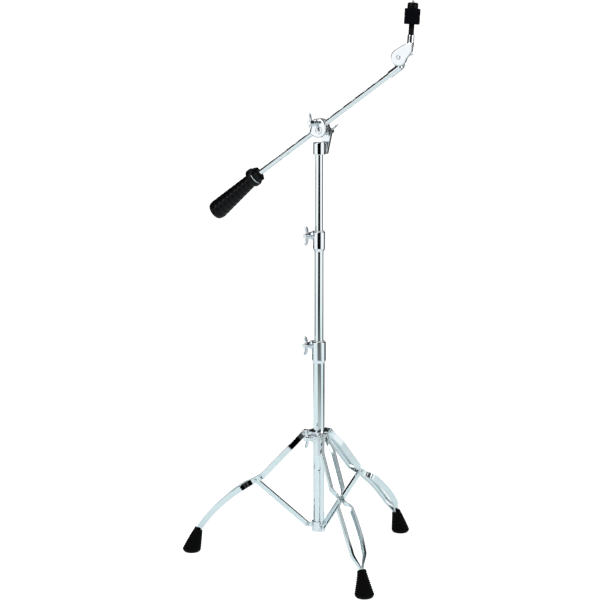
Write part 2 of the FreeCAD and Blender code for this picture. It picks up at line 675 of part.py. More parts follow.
class HeightClamp:
    """A split casting on one tube that grips the next tube through a bushing."""

    def __init__(self, name, bottom, height, outer_tube_r, inner_tube_r):
        self.name = name
        self.bottom = bottom
        self.top = bottom + height
        self.outer_tube_r = outer_tube_r
        self.inner_tube_r = inner_tube_r
        self.tube_end = bottom + CLAMP_SOCKET
        self.bushing_r = inner_tube_r + RUN_FIT + BUSHING_WALL
        self.body_r = max(self.bushing_r + RUN_FIT + CLAMP_WALL, outer_tube_r + CLAMP_WALL)
        self.ear_z = self.top - EAR_HEIGHT / 2
        beside = math.sqrt(self.body_r ** 2 - ear_half ** 2)
        self.bolt_out = beside + HUB_COLLAR_R + HUB_CLEAR

    def casting(self):
        """Casting with its skirt, ears, slit and bores."""
        skirt_r = self.outer_tube_r + CLAMP_SKIRT_WALL
        body = revolve([
            (0, self.bottom), (skirt_r, self.bottom), (self.body_r, self.bottom + CLAMP_SKIRT),
            (self.body_r, self.top - CLAMP_EDGE), (self.body_r - CLAMP_EDGE, self.top),
            (0, self.top),
        ])
        low, high = self.top - EAR_HEIGHT, self.top
        ears = box(0, self.bolt_out, -ear_half, ear_half, low, high)
        tip = Part.makeCylinder(
            EAR_REACH, 2 * ear_half, Vector(self.bolt_out, -ear_half, self.ear_z), Vector(0, 1, 0)
        )
        flank = box(self.bolt_out, self.bolt_out + EAR_REACH, -ear_half, ear_half,
                    low + EAR_REACH, high - EAR_REACH)
        slit = box(0, self.bolt_out + EAR_REACH + 1, -CLAMP_SLIT / 2, CLAMP_SLIT / 2, low, high + 1)
        bolt = cross_hole(BOLT_R + RUN_FIT, Vector(self.bolt_out, 0, self.ear_z))
        turn = FreeCAD.Placement(Vector(0, 0, 0), FreeCAD.Rotation(UP, CLAMP_BEARING))
        whole = fused([body, placed(fused([ears, tip, flank]), turn)])
        whole = whole.cut(placed(slit.fuse(bolt), turn))
        whole = whole.cut(cylinder(self.outer_tube_r + SEAT_FIT, self.bottom - 1, self.tube_end))
        return whole.cut(cylinder(self.bushing_r + RUN_FIT, self.tube_end - 1, self.top + 1))

    def bushing(self):
        """Nylon bushing that turns with the inner tube; its lip shows above the casting."""
        low = self.tube_end + THRUST_GAP
        body = cylinder(self.bushing_r, low, self.top + THRUST_GAP)
        lip_r = self.bushing_r + CLAMP_WALL / 2
        lip = cylinder(lip_r, self.top + THRUST_GAP, self.top + THRUST_GAP + BUSHING_LIP)
        bore = cylinder(self.inner_tube_r + RUN_FIT, low - 1, self.top + BUSHING_LIP + 1)
        return fused([body, lip]).cut(bore)

    def seat(self, side):
        """Centre of an ear's outer face, on the bolt's axis."""
        offset = clamp_tangent * (side * ear_half)
        return bearing(CLAMP_BEARING) * self.bolt_out + offset + UP * self.ear_z

    def wing(self):
        """Wing bolt through both ears."""
        shank = 2 * ear_half + NUT_THICKNESS + 2 * THRUST_GAP
        seat = self.seat(1) + clamp_tangent * THRUST_GAP
        return placed(wing_bolt(shank), frame(seat, UP, clamp_tangent))

    def nut(self):
        """Hexagon nut against the far ear."""
        nut = hex_nut(NUT_ACROSS_CORNERS, NUT_THICKNESS, BOLT_R + RUN_FIT)
        return placed(nut, frame(self.seat(-1), UP, clamp_tangent * -1))

    def write(self):
        """Write the clamp's nodes."""
        save(self.name + "_clamp", self.casting())
        save(self.name + "_clamp_nut", self.nut())
        save(self.name + "_clamp_bushing", self.bushing())
        save(self.name + "_clamp_wing", self.wing())


def tube_guide(bore, tube_bore, low):
    """Nylon plug in a tube's lower end whose lip centres it in the larger tube."""
    lip = cylinder(bore - RUN_FIT, low - GUIDE_LIP, low)
    return lip.fuse(cylinder(tube_bore - SEAT_FIT, low, low + GUIDE_PLUG))


# ---- boom bracket and clamp -------------------------------------------------------------------------
boom_centre = Vector(0, 0, bracket_top + BOOM_RISE)
boom_level = bearing(BOOM_BEARING)
incline = math.radians(BOOM_INCLINE)
boom_along = boom_level * math.cos(incline) + UP * math.sin(incline)
boom_up = UP * math.cos(incline) - boom_level * math.sin(incline)
boom_near = boom_along.cross(boom_up)
# Local X runs up along the boom, Y square to it and upwards, Z level towards the near side.
boom_frame = frame(boom_centre, boom_along, boom_near)
# The same place with X level, for what stays upright.
level_frame = frame(boom_centre, boom_level, boom_near)
upright = (math.sin(incline), math.cos(incline), 0)
tilt_x = TILT_OFFSET * math.sin(incline)
tilt_y = -TILT_OFFSET * math.cos(incline)
ear_front = -(DRUM_SPLIT / 2 + DRUM_REAR + TILT_BOSS + TILT_WASHER + 2 * THRUST_GAP)
ear_back = ear_front - EAR_PLATE
liner_r = ROD_R + RUN_FIT + LINER_WALL


def boom_bracket():
    """Casting on the top tube: sleeve, rear block and the upright ear for the tilt bolt."""
    outer = TOP_TUBE_R + BRACKET_WALL
    sleeve = cylinder(outer, bracket_bottom, bracket_top)
    top_edges = [edge for edge in sleeve.Edges if edge.BoundBox.ZMin > bracket_top - 0.01]
    sleeve = sleeve.makeFillet(BRACKET_CAP * 0.4, top_edges)
    low = bracket_bottom - boom_centre.z
    half = BRACKET_ARM_HALF
    block_top = top_tube_top - boom_centre.z
    block = box(-half, half, low, block_top, ear_back, 0)
    arm = prism(
        [(-half, low), (half, low), (tilt_x + EAR_R, tilt_y), (tilt_x - EAR_R, tilt_y)],
        ear_back, ear_front,
    )
    ear = Part.makeCylinder(EAR_R, EAR_PLATE, Vector(tilt_x, tilt_y, ear_back))
    upper = placed(fused([block, arm, ear]), level_frame)
    bolt_way = Part.makeCylinder(BOLT_R + RUN_FIT, EAR_PLATE + 2, Vector(tilt_x, tilt_y, ear_back - 1))
    whole = fused([sleeve, upper]).cut(placed(bolt_way, level_frame))
    return whole.cut(cylinder(TOP_TUBE_R + SEAT_FIT, bracket_bottom - 1, top_tube_top))


def drum_rear():
    """Rear half of the boom clamp with its tilt boss."""
    back = -DRUM_SPLIT / 2 - DRUM_REAR
    half = cylinder(DRUM_R, back, -DRUM_SPLIT / 2)
    edge = [item for item in half.Edges if item.BoundBox.ZMax < back + 0.01]
    half = half.makeFillet(DRUM_EDGE, edge)
    boss = cylinder(TILT_BOSS_R, back - TILT_BOSS, back + DRUM_EDGE, 0, -TILT_OFFSET)
    head_face = -DRUM_SPLIT / 2 - TILT_BOLT_SKIN
    tilt_way = cylinder(BOLT_R + SEAT_FIT, back - TILT_BOSS - 1, 0, 0, -TILT_OFFSET)
    head_way = cylinder(TILT_BOLT_HEAD_R + SEAT_FIT, head_face - TILT_BOLT_HEAD, 0, 0, -TILT_OFFSET)
    clamp_way = cylinder(CLAMP_BOLT_R + RUN_FIT, back - 1, 0, 0, CLAMP_BOLT_OFFSET)
    groove = Part.makeCylinder(liner_r + RUN_FIT, 4 * DRUM_R, Vector(-2 * DRUM_R, 0, 0), Vector(1, 0, 0))
    solid = half.fuse(boss).cut(tilt_way.fuse(head_way)).cut(clamp_way).cut(groove)
    return placed(solid, boom_frame)


def drum_front():
    """Front half of the boom clamp: a thick disc with a shallow recess and a bolt boss."""
    front = DRUM_SPLIT / 2 + DRUM_FRONT
    half = cylinder(DRUM_R, DRUM_SPLIT / 2, front)
    edge = [item for item in half.Edges if item.BoundBox.ZMin > front - 0.01]
    half = half.makeFillet(DRUM_EDGE, edge)
    recess = cylinder(DRUM_RECESS_R, front - DRUM_RECESS, front + 1, 0, -TILT_OFFSET * 0.5)
    boss = cylinder(CLAMP_BOSS_R, front - DRUM_EDGE, front + CLAMP_BOSS, 0, CLAMP_BOLT_OFFSET)
    bolt_way = cylinder(CLAMP_BOLT_R + RUN_FIT, 0, front + CLAMP_BOSS + 1, 0, CLAMP_BOLT_OFFSET)
    groove = Part.makeCylinder(liner_r + RUN_FIT, 4 * DRUM_R, Vector(-2 * DRUM_R, 0, 0), Vector(1, 0, 0))
    solid = half.cut(recess).fuse(boss).cut(bolt_way).cut(groove)
    return placed(solid, boom_frame)


def tilt_bolt():
    """Bolt held in the rear half; the tilt wing nut runs on its free end."""
    head_face = -DRUM_SPLIT / 2 - TILT_BOLT_SKIN
    head = cylinder(TILT_BOLT_HEAD_R, head_face - TILT_BOLT_HEAD, head_face, 0, -TILT_OFFSET)
    end = ear_back - HUB_LENGTH * 0.8
    shank = cylinder(BOLT_R, end, head_face, 0, -TILT_OFFSET)
    return placed(head.fuse(shank), boom_frame)


def tilt_washer():
    """Dark friction washer between the rear half and the ear."""
    back = ear_front + THRUST_GAP
    washer = cylinder(TILT_WASHER_R, back, back + TILT_WASHER, 0, -TILT_OFFSET)
    washer = washer.cut(cylinder(BOLT_R + RUN_FIT, back - 1, back + TILT_WASHER + 1, 0, -TILT_OFFSET))
    return placed(washer, boom_frame)


def tilt_wing():
    """Wing nut behind the ear that locks the boom's tilt."""
    nut = wing_bolt(0).cut(cylinder(BOLT_R + RUN_FIT, -1, HUB_LENGTH * 0.85))
    seat = Vector(tilt_x, tilt_y, ear_back - THRUST_GAP)
    return placed(placed(nut, frame(seat, Vector(1, 1, 0), Vector(0, 0, -1))), level_frame)


def boom_clamp_nut():
    """Hexagon nut behind the rear half on the boom clamp bolt."""
    nut = hex_nut(2 * (CLAMP_BOSS_R - 1), NUT_THICKNESS * 0.7, CLAMP_BOLT_R + RUN_FIT)
    back = -DRUM_SPLIT / 2 - DRUM_REAR
    place = frame(Vector(0, CLAMP_BOLT_OFFSET, back), Vector(1, 0, 0), Vector(0, 0, -1))
    return placed(placed(nut, place), boom_frame)


def boom_wing():
    """Wing bolt in front that closes the clamp on the boom."""
    seat = DRUM_SPLIT / 2 + DRUM_FRONT + CLAMP_BOSS + THRUST_GAP
    shank = seat + DRUM_SPLIT / 2 + DRUM_REAR + NUT_THICKNESS * 0.7
    place = frame(Vector(0, CLAMP_BOLT_OFFSET, seat), Vector(*upright), Vector(0, 0, 1))
    return placed(placed(wing_bolt(shank, CLAMP_BOLT_R), place), boom_frame)


def along_boom(outer, inner, start, end, drop=0.0):
    """Tube along the boom's axis between two distances; inner 0 gives a bar."""
    origin = Vector(start, -drop, 0)
    bar = Part.makeCylinder(outer, end - start, origin, Vector(1, 0, 0))
    if inner > 0:
        bore = Part.makeCylinder(inner, end - start + 2, origin - Vector(1, 0, 0), Vector(1, 0, 0))
        bar = bar.cut(bore)
    return bar


def boom_liner():
    """Nylon liner round the boom in its clamp."""
    return placed(along_boom(liner_r, ROD_R + RUN_FIT, -LINER_LENGTH / 2, LINER_LENGTH / 2), boom_frame)


def boom_rod():
    """Hollow rod with a row of small index marks."""
    rod = along_boom(ROD_R, ROD_R - ROD_WALL, -ROD_BACK, ROD_FRONT)
    turn = math.radians(INDEX_TURN)
    out = Vector(0, math.sin(turn), math.cos(turn))
    for index in range(INDEX_MARKS):
        place = Vector(INDEX_FIRST + INDEX_PITCH * index, 0, 0) + out * (ROD_R - INDEX_DEPTH)
        rod = rod.cut(Part.makeCylinder(INDEX_R, INDEX_DEPTH * 2, place, out))
    return placed(rod, boom_frame)


# ---- counterweight --------------------------------------------------------------------------------------
flange_back = WEIGHT_FRONT - TRIM_RING - WEIGHT_FLANGE
weight_end = flange_back - WEIGHT_BODY
weight_tip = weight_end - WEIGHT_DOME
bore_end = -ROD_BACK - WEIGHT_BORE_SPARE


def weight_circle(distance, radius, drop):
    """Circle square to the boom for the counterweight's loft."""
    return Part.Wire(Part.makeCircle(radius, Vector(distance, -drop, 0), Vector(1, 0, 0)))


def weight_body(inset):
    """Eccentric taper of the counterweight, smaller all round by an inset."""
    circles = []
    steps = 2 * WEIGHT_RIBS
    for index in range(steps + 1):
        share = index / steps
        radius = WEIGHT_NECK_R + (WEIGHT_END_R - WEIGHT_NECK_R) * share
        if index % 2 and inset == 0:
            radius -= WEIGHT_RIB
        drop = WEIGHT_NECK_DROP + (WEIGHT_END_DROP - WEIGHT_NECK_DROP) * share
        circles.append(weight_circle(flange_back - WEIGHT_BODY * share, radius - inset, drop))
    for share, shrink in ((0.45, 0.2), (0.8, 0.55), (1.0, 1.0)):
        radius = WEIGHT_END_R + (WEIGHT_DOME_R - WEIGHT_END_R) * shrink
        distance = weight_end - (WEIGHT_DOME - inset) * share
        circles.append(weight_circle(distance, radius - inset, WEIGHT_END_DROP))
    return Part.makeLoft(circles, True, True)


def weight_way():
    """Blind bore for the rod in the counterweight."""
    return along_boom(ROD_R + RUN_FIT, 0, bore_end, WEIGHT_FRONT + 1)


def weight_shell():
    """Moulded outside of the counterweight with its front flange."""
    flange = along_boom(WEIGHT_FLANGE_R, 0, flange_back, flange_back + WEIGHT_FLANGE)
    outside = weight_body(0).fuse(flange)
    inside = along_boom(core_r + SEAT_FIT, 0, core_back, flange_back + WEIGHT_FLANGE + 1)
    return placed(outside.cut(inside), boom_frame)


core_r = WEIGHT_NECK_R - WEIGHT_NECK_DROP - WEIGHT_SKIN
core_back = weight_end - WEIGHT_DOME * 0.4


def weight_core():
    """Iron core that gives the counterweight its mass."""
    core = along_boom(core_r, 0, core_back, flange_back + WEIGHT_FLANGE)
    return placed(core.cut(weight_way()), boom_frame)


def weight_ring():
    """Bright trim ring in front of the flange."""
    trim = along_boom(TRIM_RING_R, ROD_R + RUN_FIT, WEIGHT_FRONT - TRIM_RING, WEIGHT_FRONT)
    return placed(trim, boom_frame)


def weight_lock():
    """Lugged lock ring at the counterweight's mouth."""
    start = WEIGHT_FRONT + THRUST_GAP
    body = along_boom(LOCK_RING_R, 0, start, start + LOCK_RING)
    lug = box(
        start + LOCK_RING * 0.35, start + LOCK_RING, -LOCK_LUG_WIDTH / 2, LOCK_LUG_WIDTH / 2,
        LOCK_RING_R - LOCK_LUG_RISE, LOCK_RING_R + LOCK_LUG_RISE,
    )
    dish = Part.makeCone(
        LOCK_RING_R * 0.5, LOCK_RING_R * 0.82, LOCK_RING * 0.4,
        Vector(start + LOCK_RING * 0.6, 0, 0), Vector(1, 0, 0),
    )
    body = body.cut(dish)
    for index in range(LOCK_LUGS):
        turn = FreeCAD.Rotation(Vector(1, 0, 0), 360.0 * index / LOCK_LUGS)
        body = body.fuse(placed(lug, FreeCAD.Placement(Vector(0, 0, 0), turn)))
    way = along_boom(ROD_R + RUN_FIT, 0, start - 1, start + LOCK_RING + 1)
    return placed(body.removeSplitter().cut(way), boom_frame)


# ---- cymbal tilter -----------------------------------------------------------------------------------------
tilter_centre = boom_centre + boom_along * TILTER_OUT + boom_up * TILTER_UP
tilter_frame = frame(tilter_centre, boom_level, boom_near)
post_angle = math.radians(POST_LEAN)
post_axis = UP * math.cos(post_angle) + boom_level * math.sin(post_angle)
post_base = tilter_centre + boom_level * NECK_OUT + UP * NECK_UP
post_frame = frame(post_base, boom_level, post_axis)
ear_face = -THRUST_GAP


def tilter_base():
    """Fitting on the rod's end with the rear ear of the tilter."""
    barrel = along_boom(FITTING_R, 0, FITTING_START, FITTING_END)
    ends = [edge for edge in barrel.Edges if edge.BoundBox.XMax < FITTING_START + 0.01]
    barrel = barrel.makeChamfer(FITTING_R - ROD_R - 0.5, ends)
    nose = Part.makeSphere(FITTING_R, Vector(FITTING_END, 0, 0))
    ear = cylinder(TILTER_EAR_R, ear_face - TILTER_EAR, ear_face, TILTER_OUT, TILTER_UP)
    root = prism(
        [(FITTING_START + FITTING_R * 2, 0), (FITTING_END + FITTING_R * 0.7, -FITTING_R * 0.7),
         (TILTER_OUT + TILTER_EAR_R, TILTER_UP - 2), (TILTER_OUT - TILTER_EAR_R, TILTER_UP + 2)],
        ear_face - TILTER_EAR, ear_face,
    )
    front_clear = cylinder(TILTER_DISC_R + FACE_GAP, ear_face, FITTING_R + 1, TILTER_OUT, TILTER_UP)
    whole = fused([barrel, nose, ear, root]).cut(front_clear)
    bolt_way = cylinder(BOLT_R + SEAT_FIT, -FITTING_R * 2, 1, TILTER_OUT, TILTER_UP)
    bore = along_boom(ROD_R + SEAT_FIT, 0, FITTING_START - 1, ROD_FRONT)
    return placed(whole.cut(bolt_way).cut(bore), boom_frame)


def tilter_bolt():
    """Bolt through both halves of the tilter with its domed cap in front."""
    front = TILTER_DISC
    cap = Part.makeCone(TILTER_CAP_R, TILTER_CAP_R * 0.75, TILTER_CAP, Vector(0, 0, front + THRUST_GAP))
    end = ear_face - TILTER_EAR - HUB_LENGTH * 0.8
    shank = cylinder(BOLT_R, end, front + THRUST_GAP)
    return placed(cap.fuse(shank), tilter_frame)


def tilter_wing():
    """Wing nut behind the tilter."""
    nut = wing_bolt(0).cut(cylinder(BOLT_R + RUN_FIT, -1, HUB_LENGTH * 0.85))
    seat = Vector(0, 0, ear_face - TILTER_EAR - THRUST_GAP)
    return placed(placed(nut, frame(seat, Vector(1, 0.35, 0), Vector(0, 0, -1))), tilter_frame)


def tilter_arm():
    """Front disc with its curved arm and the neck of the cymbal post."""
    disc = cylinder(TILTER_DISC_R, 0, TILTER_DISC)
    edge = [item for item in disc.Edges if item.BoundBox.ZMin > TILTER_DISC - 0.01]
    disc = disc.makeFillet(TILTER_DISC_EDGE, edge)
    arm = prism(
        [(-TILTER_DISC_R * 0.35, TILTER_DISC_R * 0.94), (NECK_OUT - NECK_R, NECK_UP + 1),
         (NECK_OUT + NECK_R, NECK_UP + 1), (NECK_OUT + NECK_R * 0.9, NECK_UP * 0.45),
         (TILTER_DISC_R * 0.97, -TILTER_DISC_R * 0.2), (TILTER_DISC_R * 0.3, 0)],
        0, TILTER_DISC,
    )
    neck = placed(cylinder(NECK_R, -NECK_R, NECK_LENGTH), post_frame)
    socket = placed(cylinder(STUD_R + SEAT_FIT, NECK_LENGTH - STUD_SUNK, NECK_LENGTH + 1), post_frame)
    bolt_way = placed(cylinder(BOLT_R + RUN_FIT, -1, TILTER_DISC + 1), tilter_frame)
    body = fused([placed(fused([disc, arm]), tilter_frame), neck])
    return body.cut(bolt_way).cut(socket)


# ---- cymbal post, stacked up from the neck --------------------------------------------------------------------
seat_low = NECK_LENGTH
seat_high = seat_low + SEAT_LENGTH
upper_felt_low = seat_high + FELT_LENGTH + THRUST_GAP
nut_low = upper_felt_low + FELT_LENGTH + THRUST_GAP
nut_high = nut_low + NUT_LENGTH
stud_top = nut_high + STUD_SHOWN


def cymbal_seat():
    """Plastic seat and sleeve that keeps felt and cymbal off the metal stud."""
    body = cylinder(SEAT_R, seat_low, seat_high)
    sleeve = cylinder(SLEEVE_R, seat_high, nut_low - FACE_GAP)
    bore = cylinder(STUD_R + SEAT_FIT, seat_low - 1, nut_low + 1)
    return placed(body.fuse(sleeve).cut(bore), post_frame)


def felt(low):
    """One felt round the sleeve."""
    return placed(ring(FELT_R, SLEEVE_R + FELT_FIT, low, low + FELT_LENGTH), post_frame)


def cymbal_stud():
    """Stud from the neck to above the nut, with a chamfered tip."""
    chamfer = STUD_R * 0.35
    stud = revolve([
        (0, seat_low - STUD_SUNK), (STUD_R, seat_low - STUD_SUNK), (STUD_R, stud_top - chamfer),
        (STUD_R - chamfer, stud_top), (0, stud_top),
    ])
    return placed(stud, post_frame)


def cymbal_nut():
    """Grooved plastic nut."""
    body = cylinder(NUT_R, nut_low, nut_high)
    rims = [edge for edge in body.Edges if edge.BoundBox.ZMin > nut_high - 0.01]
    body = body.makeFillet(NUT_R * 0.15, rims)
    for index in range(NUT_GROOVES):
        spot = bearing(360.0 * index / NUT_GROOVES) * NUT_R
        body = body.cut(cylinder(NUT_GROOVE_R, nut_low - 1, nut_high + 1, spot.x, spot.y))
    return placed(body.cut(cylinder(STUD_R + RUN_FIT, nut_low - 1, nut_high + 1)), post_frame)


def main():
    """Write every node of the stand."""
    os.makedirs("parts", exist_ok=True)
    save("base_tube", base_tube())
    save("base_plug", base_plug())
    save("stay_collar", stay_collar())
    save("stay_pins", stay_pins())
    save("leg_collar", leg_collar())
    save("leg_pins", leg_pins())
    save("leg_lock_wing", leg_lock())
    for name, angle in zip("abc", leg_bearings):
        tripod_leg(name, angle)
    HeightClamp("lower", lower_clamp_bottom, LOWER_CLAMP_HEIGHT, BASE_TUBE_R, MID_TUBE_R).write()
    HeightClamp("upper", upper_clamp_bottom, UPPER_CLAMP_HEIGHT, MID_TUBE_R, TOP_TUBE_R).write()
    mid_low = mid_tube_top - MID_TUBE_LENGTH
    top_low = top_tube_top - TOP_TUBE_LENGTH
    save("mid_tube", ring(MID_TUBE_R, mid_bore, mid_low, mid_tube_top))
    save("mid_tube_guide", tube_guide(base_bore, mid_bore, mid_low))
    save("top_tube", ring(TOP_TUBE_R, top_bore, top_low, top_tube_top))
    save("top_tube_guide", tube_guide(mid_bore, top_bore, top_low))
    save("boom_bracket", boom_bracket())
    save("drum_rear", drum_rear())
    save("drum_front", drum_front())
    save("tilt_bolt", tilt_bolt())
    save("tilt_washer", tilt_washer())
    save("tilt_wing", tilt_wing())
    save("boom_clamp_nut", boom_clamp_nut())
    save("boom_wing", boom_wing())
    save("boom_liner", boom_liner())
    save("boom_rod", boom_rod())
    save("weight_shell", weight_shell())
    save("weight_core", weight_core())
    save("weight_ring", weight_ring())
    save("weight_lock", weight_lock())
    save("tilter_base", tilter_base())
    save("tilter_bolt", tilter_bolt())
    save("tilter_wing", tilter_wing())
    save("tilter_arm", tilter_arm())
    save("cymbal_seat", cymbal_seat())
    save("lower_felt", felt(seat_high))
    save("upper_felt", felt(upper_felt_low))
    save("cymbal_stud", cymbal_stud())
    save("cymbal_nut", cymbal_nut())


main()
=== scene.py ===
"""Looks of the cymbal boom stand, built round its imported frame."""

import logging
import math
from collections.abc import Callable, Sequence
from dataclasses import dataclass, field
from enum import Enum
from typing import NamedTuple

import bmesh
import bpy
from mathutils import Matrix, Vector


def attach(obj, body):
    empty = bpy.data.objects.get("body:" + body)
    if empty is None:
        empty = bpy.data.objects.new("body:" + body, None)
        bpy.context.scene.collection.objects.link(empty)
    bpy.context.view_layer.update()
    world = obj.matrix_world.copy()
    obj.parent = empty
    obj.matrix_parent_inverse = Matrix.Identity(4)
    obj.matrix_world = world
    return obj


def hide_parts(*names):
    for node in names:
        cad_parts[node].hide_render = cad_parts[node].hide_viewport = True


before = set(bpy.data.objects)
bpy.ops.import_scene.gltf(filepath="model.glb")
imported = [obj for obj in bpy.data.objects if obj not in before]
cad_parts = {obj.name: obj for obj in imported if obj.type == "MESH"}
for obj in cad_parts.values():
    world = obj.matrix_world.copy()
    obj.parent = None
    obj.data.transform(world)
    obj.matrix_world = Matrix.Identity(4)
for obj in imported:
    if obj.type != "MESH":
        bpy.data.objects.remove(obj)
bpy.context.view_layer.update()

LOG = logging.getLogger("cymbal_stand")
MM = 0.001
WHITE = (1.0, 1.0, 1.0, 1.0)
DUST_COLOUR = (0.42, 0.41, 0.39, 1.0)
DUST_SCALE = 420.0
DUST_DULLNESS = 0.5
WEAR_SCALE = 220.0
SCATTER_DEPTH = 0.004
MERGE_GAP = 1e-6
NODE_MERGE_GAP = 2e-6
SHARP_ANGLE = 32.0
CAST_SHARP_ANGLE = 60.0
MOULDED_SHARP_ANGLE = 60.0
ROLLED_SHARP_ANGLE = 40.0
THREAD_SHARP_ANGLE = 20.0
THREAD_PITCH = 0.3
THREAD_ROOT = 0.985
THREAD_RIDGE = 0.42
ROUNDING_LIMIT = 0.45
BRACE_LIMIT = 0.49

Point = tuple[float, float]
Colour = tuple[float, float, float]


class Slot(Enum):
    """Material slots of the record."""

    TUBE_CHROME = "tube_chrome"
    PRESSED_CHROME = "pressed_chrome"
    CAST_CHROME = "cast_chrome"
    ZINC_STEEL = "zinc_steel"
    RUBBER = "foot_rubber"
    PLASTIC = "black_plastic"
    NYLON = "nylon"
    FELT = "felt"
    IRON = "core_iron"


# ---- shader building -------------------------------------------------------------------------


class ShaderTree:
    """Adds and links the nodes of one shader tree."""

    def __init__(self, tree: bpy.types.NodeTree) -> None:
        """Keeps the tree.

        Args:
            tree: the node tree to fill.
        """
        self.tree = tree
        self.tree.nodes.clear()

    def add(self, kind: str, **inputs: object) -> bpy.types.Node:
        """Adds a node; an input is a socket to link or a value, and other names are settings.

        Args:
            kind: the node's type name after "ShaderNode".
            **inputs: sockets by name with underscores for spaces, or node settings.

        Returns:
            The new node.
        """
        node = self.tree.nodes.new("ShaderNode" + kind)
        for name, value in inputs.items():
            if hasattr(node, name):
                setattr(node, name, value)
                continue
            key = int(name[1:]) if name[0] == "_" else name.replace("_", " ")
            if isinstance(value, bpy.types.NodeSocket):
                self.tree.links.new(value, node.inputs[key])
            else:
                node.inputs[key].default_value = value
        return node

    def math(self, operation: str, first: object, second: object = 0.0) -> bpy.types.NodeSocket:
        """Result of one arithmetic step.

        Args:
            operation: the Math node's operation.
            first: a socket or number.
            second: a socket or number.

        Returns:
            The result's socket.
        """
        return self.add("Math", operation=operation, _0=first, _1=second).outputs[0]


@dataclass(frozen=True)
class GroupSocket:
    """A named number on the outside of a shader group."""

    name: str
    default: float = 0.0


def shader_group(
    name: str,
    inputs: Sequence[GroupSocket],
    outputs: Sequence[str],
    build: Callable[[ShaderTree, bpy.types.Node, bpy.types.Node], None],
) -> bpy.types.NodeTree:
    """Makes a shader group with float sockets.

    Args:
        name: the group's name.
        inputs: its inputs with their defaults.
        outputs: names of its outputs.
        build: fills the tree, given its input and output nodes.

    Returns:
        The node group.
    """
    tree = bpy.data.node_groups.new(name, "ShaderNodeTree")
    for item in inputs:
        socket = tree.interface.new_socket(
            item.name, in_out="INPUT", socket_type="NodeSocketFloat"
        )
        socket.default_value = item.default
    for item in outputs:
        tree.interface.new_socket(item, in_out="OUTPUT", socket_type="NodeSocketFloat")
    shader = ShaderTree(tree)
    entry = tree.nodes.new("NodeGroupInput")
    leave = tree.nodes.new("NodeGroupOutput")
    build(shader, entry, leave)
    return tree


def build_marks(shader: ShaderTree, entry: bpy.types.Node, leave: bpy.types.Node) -> None:
    """Fine polishing lines round an axis and broad smudges from hands.

    Args:
        shader: the group's tree.
        entry: its input node.
        leave: its output node.
    """
    place = shader.add("TexCoord").outputs["Object"]
    parts = shader.add("SeparateXYZ", Vector=place).outputs
    squeezed = shader.math("MULTIPLY", parts[2], entry.outputs["Stretch"])
    lines_at = shader.add("CombineXYZ", X=parts[0], Y=parts[1], Z=squeezed).outputs[0]
    lines = shader.add(
        "TexNoise", Vector=lines_at, Scale=entry.outputs["Scale"], Detail=4.0, Roughness=0.65
    ).outputs["Fac"]
    smudge = shader.add(
        "TexNoise", Vector=place, Scale=26.0, Detail=5.0, Roughness=0.6
    ).outputs["Fac"]
    patches = shader.add(
        "MapRange", Value=smudge, From_Min=0.46, From_Max=0.72, To_Min=0.0, To_Max=1.0
    ).outputs[0]
    total = shader.math(
        "ADD", shader.math("MULTIPLY", lines, 0.6), shader.math("MULTIPLY", patches, 0.7)
    )
    shader.tree.links.new(total, leave.inputs["Mask"])
    shader.tree.links.new(lines, leave.inputs["Height"])


def build_grain(shader: ShaderTree, entry: bpy.types.Node, leave: bpy.types.Node) -> None:
    """Moulded or cast skin: small cells over a slow swell.

    Args:
        shader: the group's tree.
        entry: its input node.
        leave: its output node.
    """
    place = shader.add("TexCoord").outputs["Object"]
    scale = entry.outputs["Scale"]
    cells = shader.add("TexVoronoi", Vector=place, Scale=scale).outputs["Distance"]
    slow = shader.math("MULTIPLY", scale, 0.12)
    swell = shader.add("TexNoise", Vector=place, Scale=slow, Detail=3.0).outputs["Fac"]
    mixed = shader.math(
        "ADD", shader.math("MULTIPLY", cells, 0.5), shader.math("MULTIPLY", swell, 0.8)
    )
    shader.tree.links.new(mixed, leave.inputs["Height"])
    shader.tree.links.new(swell, leave.inputs["Tone"])


def build_edge_wear(shader: ShaderTree, entry: bpy.types.Node, leave: bpy.types.Node) -> None:
    """Mask of rubbed edges, broken up by noise.

    Args:
        shader: the group's tree.
        entry: its input node.
        leave: its output node.
    """
    place = shader.add("TexCoord").outputs["Object"]
    point = shader.add("NewGeometry").outputs["Pointiness"]
    edge = shader.add("MapRange", Value=point, From_Min=0.53, From_Max=0.62).outputs[0]
    broken = shader.add(
        "TexNoise", Vector=place, Scale=entry.outputs["Scale"], Detail=6.0
    ).outputs["Fac"]
    ragged = shader.add("MapRange", Value=broken, From_Min=0.42, From_Max=0.6).outputs[0]
    patchy = shader.math("MULTIPLY", edge, ragged)
    mask = shader.math("MULTIPLY", patchy, entry.outputs["Amount"])
    shader.tree.links.new(mask, leave.inputs["Mask"])


def build_dust(shader: ShaderTree, entry: bpy.types.Node, leave: bpy.types.Node) -> None:
    """Mask of dust that settles on what faces up.

    Args:
        shader: the group's tree.
        entry: its input node.
        leave: its output node.
    """
    place = shader.add("TexCoord").outputs["Object"]
    normal = shader.add("NewGeometry").outputs["Normal"]
    up = shader.add("SeparateXYZ", Vector=normal).outputs[2]
    facing = shader.add("MapRange", Value=up, From_Min=0.25, From_Max=1.0).outputs[0]
    specks = shader.add(
        "TexNoise", Vector=place, Scale=entry.outputs["Scale"], Detail=8.0
    ).outputs["Fac"]
    settled = shader.add("MapRange", Value=specks, From_Min=0.4, From_Max=0.75).outputs[0]
    lying = shader.math("MULTIPLY", facing, settled)
    mask = shader.math("MULTIPLY", lying, entry.outputs["Amount"])
    shader.tree.links.new(mask, leave.inputs["Mask"])


